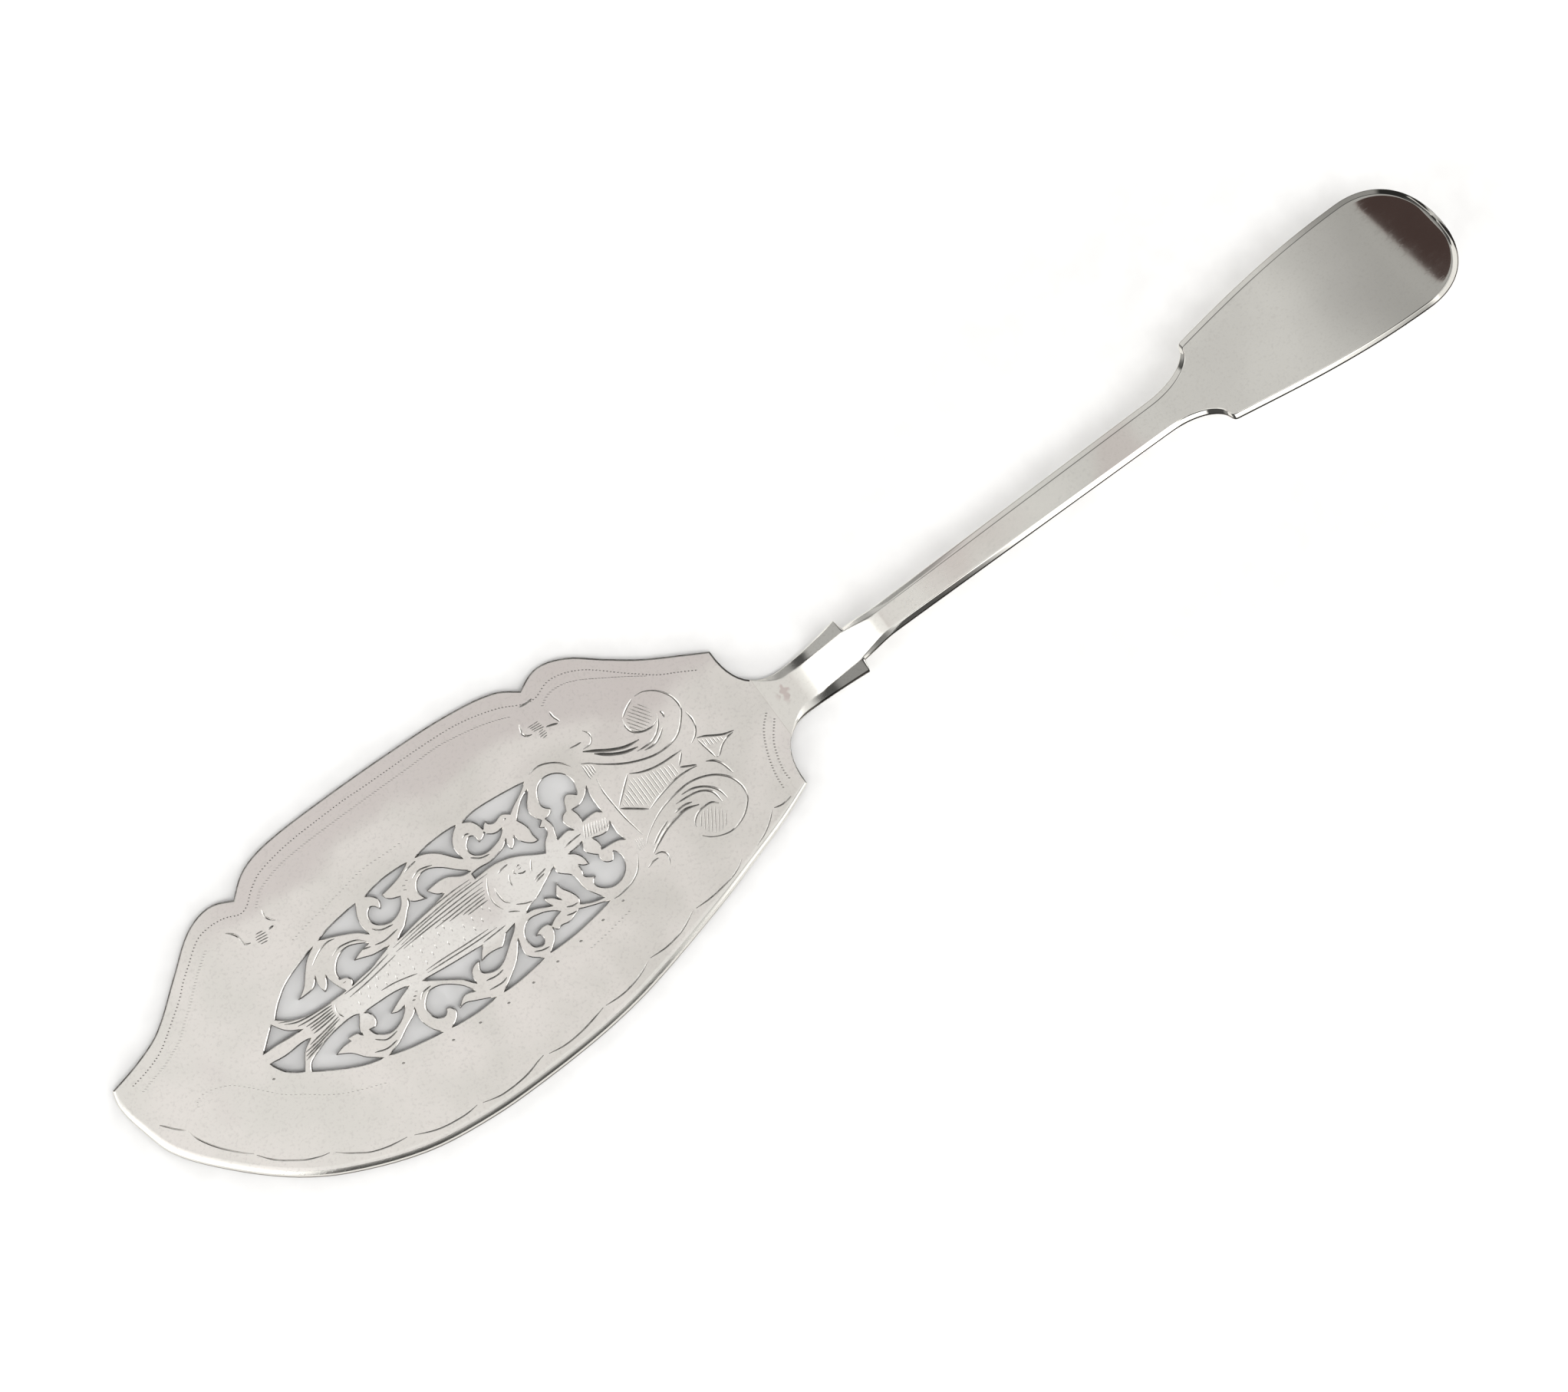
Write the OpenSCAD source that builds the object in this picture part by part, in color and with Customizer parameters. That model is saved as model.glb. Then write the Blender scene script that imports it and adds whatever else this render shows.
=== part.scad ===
// Fish slice: a saw-pierced sheet blade, hard-soldered to a forged fiddle-pattern handle.
// X runs along the handle, with the blade towards -X and its two heel corners on X = 0.
// Y = 0 is the handle's centreline, and the blade's scalloped edge lies towards +Y.
// Z = 0 is the blade's flat underside, on which the slice rests.

/* [Blade] */
// Length of the blade, from its heel corners to the furthest point of its tip
blade_l = 140.7; // [128:0.1:180]
// Reach of the scalloped edge from the handle's centreline
scallop_reach = 36.8; // [32:0.1:46]
// Reach of the smooth edge from the handle's centreline
smooth_reach = 31.4; // [27:0.1:40]
// Width across the two heel corners
heel_w = 31.4; // [26:0.1:36]
// Thickness of the sheet
sheet_t = 1.4; // [1.2:0.05:2.4]
// Width of the bevel along the smooth edge
bevel_w = 2; // [1:0.1:3.5]
// Thickness left at the bevelled edge
edge_t = 0.45; // [0.3:0.05:1]

/* [Pierced panel] */
// Length of the pierced panel
panel_l = 79; // [66:0.5:90]
// Height of the pierced panel
panel_h = 31.4; // [26:0.2:36]
// Distance from the heel corners to the panel
panel_setback = 34; // [30:0.5:42]
// Offset of the panel's axis from the handle's centreline, towards the scalloped edge
panel_y = 2.2; // [0:0.1:4]

/* [Neck] */
// Length of the concave flare from a heel corner to the neck
flare_l = 9; // [7:0.1:11]
// Distance from the heel corners to the spurs
neck_l = 22; // [19:0.5:27]
// Width of the neck where it is narrowest
neck_w = 9.8; // [8.4:0.1:12]
// Width of the neck's flat upper face
neck_flat_w = 6.4; // [5:0.1:7.6]
// Width across the spurs
spur_w = 12.1; // [10.5:0.1:15]
// Width of the stem's root, just behind the spurs
root_w = 7.5; // [6.8:0.1:9]

/* [Handle] */
// Length of the handle, from the heel corners to its end
handle_l = 158.6; // [145:0.1:190]
// Height of the stem's upper face above the table
stem_h = 12.3; // [9.5:0.1:17]
// Width of the stem at its thinnest
stem_w = 6.4; // [5.4:0.1:8]
// Width of the stem where it meets the fiddle
stem_end_w = 7.5; // [6:0.1:9.4]
// Width of the stem's flat upper face
stem_flat_w = 4; // [3:0.1:5]
// Thickness of the stem where it leaves the neck
stem_t = 3.8; // [3:0.1:5]
// Thickness of the stem where it meets the fiddle
stem_end_t = 3; // [2.4:0.1:4]
// Distance from the heel corners to the fiddle's shoulders
shoulder_x = 105.3; // [92:0.1:118]
// Length of the concave flare from the stem to a shoulder
shoulder_flare_l = 11.3; // [7:0.1:16]
// Width across the shoulders
shoulder_w = 18.2; // [14:0.1:22]
// Greatest width of the fiddle
fiddle_w = 26.7; // [23:0.1:34]
// Length of the fiddle's rounded end
end_l = 12.6; // [9:0.1:18]
// Thickness of the fiddle at its end
fiddle_t = 2; // [1.6:0.1:3]
// Width of the facet along the fiddle's upper edges
fiddle_facet_w = 1.2; // [0.4:0.1:1.6]
// Rise of the upturned end above the stem
end_lift = 4; // [0:0.1:8]
// Slant of the fiddle's end across the handle, as its forging left it
end_slant = 0.11; // [0:0.01:0.15]
// Drift of the fiddle's end from the centreline, towards the smooth edge
end_drift = 0.8; // [0:0.1:1.5]

/* [Joint] */
// Distance from the heel corners to the tongue's upper nib
scarf_x = 3; // [2:0.1:5]
// Length of the sloping joint
scarf_l = 8; // [5:0.1:10]
// Thickness of the nib at each end of the slope
scarf_nib = 0.4; // [0.3:0.05:0.5]
// Thickness of the solder film
solder_t = 0.12; // [0.08:0.01:0.2]

/* [Hidden] */
// Chords that draw one stretch of a curve between two points
edge_steps = 5;
saw_steps = 4;
flare_steps = 12;
// Sections of the handle along its tongue, neck, crank, stem, shoulders, fiddle and rounded end
tongue_sections = 8;
neck_sections = 10;
crank_sections = 8;
stem_sections = 6;
shoulder_sections = 12;
fiddle_sections = 12;
end_sections = 15;
// Distance by which a cut runs past what it cuts
overrun = 1;
scarf_end = scarf_x + scarf_l;
// The crank: the upper face starts to rise over the joint, and the underside just past it
crank_lead = 1.5;
crank_lag = 1;
crank_reach = 8;
crank_start = scarf_end - crank_lead;
under_start = scarf_end + crank_lag;
crank_end = neck_l + crank_reach;
// The upper face narrows from just before the spurs to just before the crank's end
face_lead = 1.5;
// Length in which a spur falls back to the stem's root
spur_step = 0.35;
// Shape of the heel's flare and of the fiddle's end, where 2 is an ellipse, and of the spurs' swell
flare_power = 2.5;
end_power = 2.3;
spur_power = 1.6;
widest_x = handle_l - end_l;
stem_end_x = shoulder_x - shoulder_flare_l;
// Width of the flat at the fiddle's very end, and half of its narrowest upper and lower faces
end_flat_w = 2.4;
end_face_half = 0.6;
// Width of the facets along the underside of the stem and of the spurs
under_facet_w = 0.8;
spur_facet_w = 0.3;
// Height of the widest line on the neck, as a share of the thickness
neck_waist = 0.62;
// Depth of the upper facets at the stem's root and further on, and the length in which it changes
root_facet_d = 0.84;
facet_d = 0.72;
facet_run = 36;
// Depth of the facet round the fiddle's end
end_facet_d = 0.6;
// The upturn starts behind the shoulders
lift_lag = 6.7;
lift_start = shoulder_x + lift_lag;
lift_power = 2.5;
// Share of the bevel's width at the tip and at the heel
bevel_taper = 0.3;
// The bevel is rounded: shares of its width, from the inside, and of its depth there
bevel_rounding = [[0, 0], [0.35, 0.06], [0.75, 0.42]];

// The sizes that the patterns below are drawn for, which the set sizes stretch
drawn_blade_l = 140.7;
drawn_scallop = 36.8;
drawn_smooth = 31.4;
drawn_panel_l = 79;
drawn_panel_h = 31.4;
drawn_setback = 34;
drawn_axis_y = 2.2;

// Scalloped edge, from the heel to the tip, as distance from the heel and reach. A 1 marks a corner.
scalloped_edge = [
    [3.5, 17.7], [11.2, 22.2], [17, 26.5], [22.8, 31.05], [28.5, 32.9], [33.6, 31.05, 1],
    [38.2, 33.95], [47.8, 35.75], [60, 36.5], [75, 36.8], [89, 36.45], [95.8, 34.9], [100.7, 31.2, 1],
    [105.5, 33], [111.2, 31.5], [118, 26.35], [126.6, 19.7], [132.4, 17.3]
];
// The tip's corner, then the smooth edge from the tip to the heel
tip_corner = [139.9, 15.5, 1];
smooth_edge = [
    [140.7, 12], [139.7, 6], [137.7, -0.4], [132.4, -7.6], [122.8, -17], [113.2, -23.3], [98.7, -29],
    [85, -31.1], [72, -31.4], [58, -30.8], [45.8, -29.1], [26.6, -24.5], [17, -21.7], [7.4, -18.7]
];

// Saw piercings round the fish, in the blade's own frame. A 1 marks a corner.
// Beside the tail
tail_upper = [
    [-112.9, 4.25, 1], [-110.9, 5.95], [-108.6, 7.85, 1], [-106.8, 5.15], [-104.1, 3.6, 1], [-108.5, 4.15]
];
tail_lower = [
    [-112.95, 2, 1], [-109.75, 1.5], [-106, 1.65], [-103.9, 1.4, 1], [-105.6, 0.6], [-106.5, -0.15, 1],
    [-108.5, -3, 1], [-110.3, -1.9], [-111.6, -0.55]
];
// Between the tail and the first scrolls
leaf_upper = [
    [-107.4, 8.25, 1], [-105.3, 10.3], [-102, 12.5], [-98.5, 13.8], [-93.6, 15.2, 1], [-96, 13.85],
    [-97.8, 12], [-99.6, 9.9], [-101.8, 8.6, 1], [-100, 8.5], [-98, 8.85], [-96.5, 10.4, 1], [-97, 8.9],
    [-96.8, 6.8, 1], [-95.6, 7.8], [-94.85, 9.4, 1], [-94.7, 8], [-94.2, 6.2], [-93.4, 4.7, 1],
    [-97.3, 4.75], [-100, 4.95], [-103, 5.5], [-105.4, 6.6]
];
leaf_lower = [
    [-107.4, -3.8, 1], [-106.5, -2.4], [-104.6, -1.55], [-101.5, -0.6], [-98.1, -0.1], [-95.5, 0],
    [-94, -0.4, 1], [-94.8, -1.5], [-95.6, -2.7], [-95.7, -4, 1], [-96.5, -3.05], [-98.4, -2.8, 1],
    [-98.2, -3.55, 1], [-100.1, -3.5], [-102, -4.05, 1], [-100.5, -4.85], [-99.2, -5.8], [-97.5, -7.9],
    [-95, -9.75, 1], [-98.1, -8.95], [-102.4, -6.9]
];
// Inside the first scrolls
hollow_upper = [
    [-93.1, 7.1, 1], [-93, 8.4], [-92.2, 9.7], [-90.7, 10.85], [-89, 11.25], [-87.4, 10.9],
    [-84.7, 9.4, 1], [-86.7, 9.15], [-88.95, 8.35, 1], [-87.1, 7.7], [-85.3, 7.05], [-81.8, 6.75, 1],
    [-84.9, 5.95], [-87.1, 5.35], [-90, 5.05], [-91.9, 4.75, 1], [-91.3, 5.6], [-91.6, 6.4], [-92.3, 6.9]
];
hollow_lower = [
    [-93.1, -0.7, 1], [-90, -0.8], [-86.5, -1], [-83.2, -1.65, 1], [-86, -2.5], [-89.2, -3.85, 1],
    [-87.8, -4.45], [-86.1, -4.15, 1], [-87.2, -5.3], [-89, -6.35], [-91.3, -6.7], [-93.2, -5.6],
    [-94.1, -3.85, 1], [-92.8, -4.05], [-92, -2.9], [-92.2, -1.5]
];
// Three-cornered gaps against the panel's rim
gap_upper_left = [
    [-92.1, 15.5, 1], [-89, 16.3], [-82.4, 17, 1], [-83.5, 15.2], [-84.05, 13.2], [-83.7, 10.75, 1],
    [-85.3, 12.25], [-88, 13.75]
];
gap_upper_right = [
    [-68.3, 17.3, 1], [-65.5, 17.75], [-62, 17.9], [-58.4, 17.7, 1], [-59.7, 16.9], [-60.8, 15.7],
    [-61.4, 14.2], [-61.1, 11.75, 1], [-62.2, 13], [-63.6, 14.75], [-65.3, 16.2], [-66.9, 17]
];
gap_lower_left = [
    [-84.85, -5.65, 1], [-85.6, -6.5], [-88, -7.6], [-91, -9.2], [-93.9, -10, 1], [-90.3, -11.15],
    [-83.2, -12.55, 1], [-84.6, -10.7], [-85.35, -8.2]
];
gap_lower_right = [
    [-61.5, -6.7, 1], [-62.6, -8.2], [-63.9, -9.7], [-65.9, -11.2], [-69.5, -13.3, 1], [-65.5, -13.3],
    [-59.6, -12.65, 1], [-61.9, -10.7], [-62.15, -9.2]
];
// Inside the round scrolls, each with a leaf that grows into it
scroll_upper_left = [
    [-80.2, 16.95, 1], [-78, 17.4], [-75, 17.7], [-70, 17.5, 1], [-71.5, 16.8], [-73.2, 16.1],
    [-77.5, 15.3, 1], [-76.9, 13.9], [-74.8, 13, 1], [-75.9, 11.4], [-77.4, 10.5], [-79.3, 10.2],
    [-81.1, 11], [-82.05, 12.6], [-81.6, 14.1], [-80.6, 14.7], [-79.8, 14.2], [-79.3, 13.35, 1],
    [-78.6, 14.4], [-78.6, 15.5], [-79.4, 16.4]
];
scroll_upper_right = [
    [-58.3, 14.05], [-57.6, 14.3], [-56.9, 13.8], [-56.8, 12.45, 1], [-55.6, 12.75], [-54.9, 13.4, 1],
    [-54.5, 12.6], [-53.3, 11.95], [-51.6, 12.05, 1], [-53.2, 10.75], [-55, 10.2], [-56.8, 10],
    [-58.3, 10.5], [-59.3, 11.8], [-59.2, 13]
];
scroll_lower_left = [
    [-81.5, -5.1], [-80.3, -4.75], [-78.5, -5.15], [-76.7, -6.3], [-75, -7.9], [-73.8, -9.95, 1],
    [-75.6, -9.3], [-76.6, -9.55], [-78.1, -10.85, 1], [-76.6, -10.7], [-75, -11.4], [-71.2, -13.2, 1],
    [-76, -13.4], [-81.3, -12.85, 1], [-79.7, -12], [-78.9, -10.9], [-79.2, -9.8], [-80.15, -9.25, 1],
    [-80.6, -10], [-81.4, -10.3], [-82.4, -9.8], [-83.15, -8.4], [-83.1, -6.7]
];
scroll_lower_right = [
    [-59.2, -5.8], [-57.7, -5.1], [-55.7, -5.4], [-53.9, -6.05], [-52, -7.35, 1], [-53.7, -7.75],
    [-54.9, -8.45, 1], [-55.6, -7.8], [-57.2, -7.75], [-58.6, -8.4, 1], [-57.8, -8.7], [-57.55, -9.6],
    [-58.3, -10.5], [-59.5, -10.2], [-60.2, -9], [-60.2, -7.3]
];
// Along the fish's back and belly, round its fins
back_gap = [
    [-79.95, 6.55, 1], [-78.9, 7.25], [-77.3, 8.1], [-75.2, 10.1], [-74.3, 10.9], [-73.9, 11.9, 1],
    [-73.6, 10.9], [-72.6, 10.25], [-70.95, 9.7, 1], [-71.4, 10.7], [-71.6, 11.8], [-71, 13.1],
    [-69.9, 13.9], [-68.5, 14.2], [-67, 13.8], [-65, 12.4], [-63, 10.4], [-61.2, 9, 1], [-62.4, 9.05],
    [-63.4, 9.4], [-66, 10.9], [-70.2, 10.85, 1], [-69.1, 9.25], [-67.6, 8.5, 1], [-72, 7.75],
    [-75.5, 7.25]
];
belly_gap = [
    [-80.7, -2.4, 1], [-78, -2.75], [-74, -3.2], [-67.55, -3.75, 1], [-68.6, -4.7], [-69.6, -6.1, 1],
    [-67.3, -5.85], [-64.9, -6.3, 1], [-63.9, -5.6], [-62.8, -4.6, 1], [-60.3, -4, 1], [-61.4, -5.1],
    [-62.7, -6], [-64.6, -7.4], [-66.2, -8.5], [-68.1, -9.05], [-69.9, -8.55], [-70.75, -7.5],
    [-70.4, -6.5], [-69.9, -5.7, 1], [-71.2, -5.85], [-72.2, -6.5], [-72.7, -7.6], [-72.75, -8.9, 1],
    [-74, -7.2], [-75.3, -6.1], [-77.5, -4.6]
];
// Round the fish's head
head_upper = [
    [-61.4, 8.35, 1], [-59.5, 8.4], [-57.3, 8.15], [-55.3, 8.45], [-53.6, 8.9], [-52.3, 9.95, 1],
    [-52.75, 8.9], [-52.6, 7.65, 1], [-51.6, 8.2], [-50.75, 9.55, 1], [-50.5, 8.2], [-49.6, 6.95],
    [-48.4, 6.1], [-47.4, 6.05, 1], [-47.65, 7.5], [-47.65, 9.4], [-48.55, 11.55, 1], [-47.4, 12.7],
    [-45.6, 14.2], [-43.6, 15.05, 1], [-44.2, 14.2], [-45.1, 13.2, 1], [-45.75, 12], [-45.9, 10.8],
    [-45.4, 9.6], [-44.85, 8.7, 1], [-46, 7.85, 1], [-45.15, 7.25, 1], [-45.3, 6.2], [-46.7, 5.05],
    [-47.8, 3.25, 1], [-49.6, 4.25], [-51.9, 5.7], [-54.2, 6.75], [-57.2, 7.4], [-61.4, 7.25, 1]
];
head_lower = [
    [-57.35, -3.8, 1], [-56.3, -3.15], [-53.8, -2.45], [-51, -1.1], [-48, 0.25, 1], [-48.3, -0.9],
    [-47.7, -1.8], [-46.3, -3.1], [-45.95, -4.4], [-45.9, -6], [-45.3, -7.7], [-43.75, -10.15, 1],
    [-46, -9.6], [-48.15, -8.45, 1], [-47.7, -7.2], [-48.3, -5.5], [-49.2, -4], [-49.5, -2.45, 1],
    [-50.4, -3.5], [-50.9, -4.4], [-50.6, -5.7, 1], [-51.5, -4.6], [-53.2, -3.45, 1], [-53.1, -4.4],
    [-52.6, -5.65, 1], [-54, -4.95], [-55.8, -4.05]
];
// Long gaps against the rim, in front of the round scrolls
rim_upper = [
    [-57.2, 17.35, 1], [-55, 17.75], [-52.5, 17.75], [-48, 17.3], [-43.2, 16.6, 1], [-45.2, 15.3],
    [-47.7, 14.05], [-48.85, 13.25, 1], [-49.3, 13.65, 1], [-50.5, 14.2], [-52.3, 13.75], [-53.2, 14.2],
    [-53.45, 14.95, 1], [-54.1, 14.7], [-54.75, 13.95, 1], [-55, 15.3], [-55.6, 16.4], [-56.6, 17.05]
];
rim_lower = [
    [-58.05, -12.55, 1], [-57.1, -11.9], [-55.9, -10.9], [-55.2, -9.7], [-55.05, -8.85, 1], [-54.7, -9.6],
    [-54.35, -9.95, 1], [-53.3, -9.7], [-51.9, -10], [-50.4, -9.6], [-49, -9.1, 1], [-47.5, -9.75],
    [-43.2, -11.3, 1], [-47.9, -12.05], [-53, -12.55]
];
// The two rings in front of the mouth, each with its keyhole neck, and the two square gaps
ring_upper = [
    [-42.1, 9.6, 1], [-43, 10.6], [-43.1, 11.8], [-42.3, 13.6], [-41.2, 14.6], [-39.5, 15], [-37.7, 14.5],
    [-36.3, 13.3], [-35.6, 11.3], [-36, 9.7], [-36.5, 8.7, 1], [-37.1, 9.3], [-38.2, 9.9], [-39.1, 9.4],
    [-39.6, 8.4], [-40.05, 7.4, 1], [-41, 7.1], [-41.7, 6.2], [-41.6, 5.2], [-40.95, 3.6, 1], [-42, 4.25],
    [-44.4, 3.9, 1], [-44.1, 5.2], [-43.6, 6.8], [-44, 8.5, 1], [-43.4, 8.6], [-42.5, 8.95]
];
ring_lower = [
    [-44.45, 0.55, 1], [-42.5, 0.6], [-40.85, 0.9, 1], [-41.6, -0.2], [-41.6, -1.2], [-40.9, -2.15],
    [-39.95, -3, 1], [-40.1, -4], [-39.6, -5], [-38.3, -5.5], [-37.6, -4.7], [-37.2, -4.05, 1],
    [-36.5, -5.6], [-36.8, -7.2], [-38, -8.7], [-39.9, -9.5], [-41.7, -9.3], [-43.3, -8], [-43.7, -6.8],
    [-42.75, -5.9, 1], [-43.7, -5.35], [-44.4, -4.6], [-44.15, -3.5], [-44.1, -2.2, 1], [-43.4, -2.95],
    [-42.35, -3.35, 1], [-42.5, -1.6], [-43.2, -0.35]
];
square_upper = [
    [-38.95, 6.95, 1], [-37.3, 6.8], [-35.6, 7.5], [-34.1, 8.9, 1], [-34.6, 7], [-34.7, 5],
    [-34.65, 3.2, 1], [-35.7, 4], [-38.7, 3.9, 1], [-38.45, 5.4]
];
square_lower = [
    [-39, 0.35, 1], [-37.4, -0.3], [-35.7, -0.3], [-34.45, 0.9, 1], [-34.65, -1], [-34.6, -2.2],
    [-34.1, -3.65, 1], [-35.4, -2.9], [-38.75, -2.55, 1], [-38.45, -1.1]
];
piercings = [
    tail_upper, tail_lower, leaf_upper, leaf_lower, hollow_upper, hollow_lower, gap_upper_left,
    gap_upper_right, gap_lower_left, gap_lower_right, scroll_upper_left, scroll_upper_right,
    scroll_lower_left, scroll_lower_right, back_gap, belly_gap, head_upper, head_lower, rim_upper,
    rim_lower, ring_upper, ring_lower, square_upper, square_lower
];

// Smooth steps and mixes
function ease(t) = let (c = min(1, max(0, t))) c * c * (3 - 2 * c);
function mix(a, b, t) = a + (b - a) * t;
function shift(x, x0, x1, a, b) = mix(a, b, ease((x - x0) / (x1 - x0)));
function span(a, b, n) = [for (i = [0:n - 1]) mix(a, b, i / n)];

// A curve through hand-set points, which turns sharply only at the marked corners
function flat(p) = [p.x, p.y];
function sharp(p) = len(p) > 2;
function unit(v) = v / norm(v);
function hermite(a, b, ma, mb, t) =
    (2 * t * t * t - 3 * t * t + 1) * a + (t * t * t - 2 * t * t + t) * ma
    + (3 * t * t - 2 * t * t * t) * b + (t * t * t - t * t) * mb;
function stretch_point(before, a, b, after, t) =
    let (
        chord = flat(b) - flat(a),
        turn_a = unit(flat(b) - flat(before)) * norm(chord),
        turn_b = unit(flat(after) - flat(a)) * norm(chord),
        ma = !sharp(a) ? turn_a : sharp(b) ? chord : 1.5 * chord - 0.5 * turn_b,
        mb = !sharp(b) ? turn_b : sharp(a) ? chord : 1.5 * chord - 0.5 * turn_a
    )
    hermite(flat(a), flat(b), ma, mb, t);
function curve(points, stretches, steps) =
    let (n = len(points))
    [for (i = [0:stretches - 1])
        let (
            a = points[i],
            b = points[(i + 1) % n],
            chords = sharp(a) && sharp(b) ? 1 : steps
        )
        for (k = [0:chords - 1])
            stretch_point(points[(i + n - 1) % n], a, b, points[(i + 2) % n], k / chords)];

// The handle's half widths, and the heights of its faces, at a distance from the heel corners
function flare_half(x) =
    heel_w / 2 - (heel_w - neck_w) / 2 * pow(1 - pow(1 - x / flare_l, flare_power), 1 / flare_power);
function spur_half(x) = mix(neck_w, spur_w, pow((x - flare_l) / (neck_l - flare_l), spur_power)) / 2;
function stem_half(x) =
    x < crank_end
        ? shift(x, neck_l, crank_end, root_w, stem_w) / 2
        : mix(stem_w, stem_end_w, (x - crank_end) / (stem_end_x - crank_end)) / 2;
function shoulder_half(x) =
    let (u = (x - stem_end_x) / shoulder_flare_l)
    mix(stem_end_w, shoulder_w, 1 - sqrt(max(0, 1 - u * u))) / 2;
function fiddle_half(x) =
    let (u = (x - shoulder_x) / (widest_x - shoulder_x))
    mix(shoulder_w, fiddle_w, sin(90 * u)) / 2;
function end_curve(x, half, length) =
    let (u = min(1, max(0, (x - widest_x) / length)))
    half * pow(1 - pow(u, end_power), 1 / end_power);
function half_w(x) =
    x < flare_l ? flare_half(x)
    : x <= neck_l ? spur_half(x)
    : x < stem_end_x ? stem_half(x)
    : x < shoulder_x ? shoulder_half(x)
    : x < widest_x ? fiddle_half(x)
    : max(end_flat_w / 2, end_curve(x, fiddle_w / 2, end_l));
function top_half(x) =
    x < flare_l ? half_w(x) - (neck_w - neck_flat_w) / 2 * ease((x - scarf_x) / (flare_l - scarf_x))
    : x < crank_end ? shift(x, neck_l - face_lead, crank_end - face_lead, neck_flat_w, stem_flat_w) / 2
    : x < widest_x
        ? half_w(x) - shift(x, stem_end_x, shoulder_x, (stem_w - stem_flat_w) / 2, fiddle_facet_w)
    : max(end_face_half, end_curve(x, fiddle_w / 2 - fiddle_facet_w, end_l - fiddle_facet_w));
function under_half(x) =
    max(end_face_half,
        half_w(x) - (x <= neck_l
            ? shift(x, scarf_end, neck_l, 0, spur_facet_w)
            : shift(x, neck_l, crank_end, spur_facet_w, under_facet_w)));
function lift(x) = end_lift * pow(max(0, (x - lift_start) / (handle_l - lift_start)), lift_power);
function face_z(x) = shift(x, crank_start, crank_end, sheet_t, stem_h) + lift(x);
function end_drop(x) = end_facet_d * max(0, 1 - (handle_l - x) / fiddle_facet_w);
function top_z(x) = face_z(x) - end_drop(x);
function under_z(x) =
    x < crank_end
        ? shift(x, under_start, crank_end, 0, stem_h - stem_t)
        : face_z(x) - (x < shoulder_x
            ? mix(stem_t, stem_end_t, (x - crank_end) / (shoulder_x - crank_end))
            : shift(x, shoulder_x, widest_x, stem_end_t, fiddle_t));
function waist_z(x) =
    x <= neck_l
        ? mix(under_z(x), face_z(x), neck_waist)
        : face_z(x) - shift(x, crank_end, crank_end + facet_run, root_facet_d, facet_d);

// Plan of the heel's flare, from a heel corner out along the neck to a distance x
flare_turns = [for (i = [1:flare_steps]) flare_l * (1 - pow(cos(90 * i / flare_steps), 2 / flare_power))];
function neck_side(x) =
    [for (p = concat([0], [for (q = flare_turns) if (q < x) q], [x])) [p, half_w(p)]];

// Plan of the whole blade, tab included
function drawn(p) =
    let (
        x = -p.x * blade_l / drawn_blade_l,
        y = p.y * (p.y > 0 ? scallop_reach / drawn_scallop : smooth_reach / drawn_smooth)
    )
    sharp(p) ? [x, y, 1] : [x, y];
heel_upper = [0, heel_w / 2, 1];
heel_lower = [0, -heel_w / 2, 1];
upper_run = concat([heel_upper], [for (p = scalloped_edge) drawn(p)], [drawn(tip_corner)]);
lower_run = concat([drawn(tip_corner)], [for (p = smooth_edge) drawn(p)], [heel_lower]);
upper_line = curve(upper_run, len(upper_run) - 1, edge_steps);
lower_line = curve(lower_run, len(lower_run) - 1, edge_steps);
tab_side = neck_side(scarf_end);
blade_plan = concat(
    upper_line,
    lower_line,
    [for (p = tab_side) [p.x, -p.y]],
    [for (i = [len(tab_side) - 1:-1:1]) tab_side[i]]
);

function placed(p) =
    let (
        x = -panel_setback + (p.x + drawn_setback) * panel_l / drawn_panel_l,
        y = panel_y + (p.y - drawn_axis_y) * panel_h / drawn_panel_h
    )
    sharp(p) ? [x, y, 1] : [x, y];

// Tube through rings of points, all with the same number of points, clockwise seen from its far end
module loft(rings) {
    n = len(rings[0]);
    last = len(rings) - 1;
    sides = [
        for (i = [0:last - 1], k = [0:n - 1])
            let (a = i * n + k, b = i * n + (k + 1) % n)
            each [[a, b, b + n], [a, b + n, a + n]]
    ];
    near_cap = [for (k = [n - 1:-1:0]) k];
    far_cap = [for (k = [0:n - 1]) last * n + k];
    polyhedron(points = [for (r = rings) each r], faces = concat(sides, [near_cap, far_cap]));
}

// Solid with a profile in X and Z, as wide as the heel
module across(profile) {
    rotate([90, 0, 0]) linear_extrude(height = 2 * heel_w, center = true) polygon(profile);
}

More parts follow.
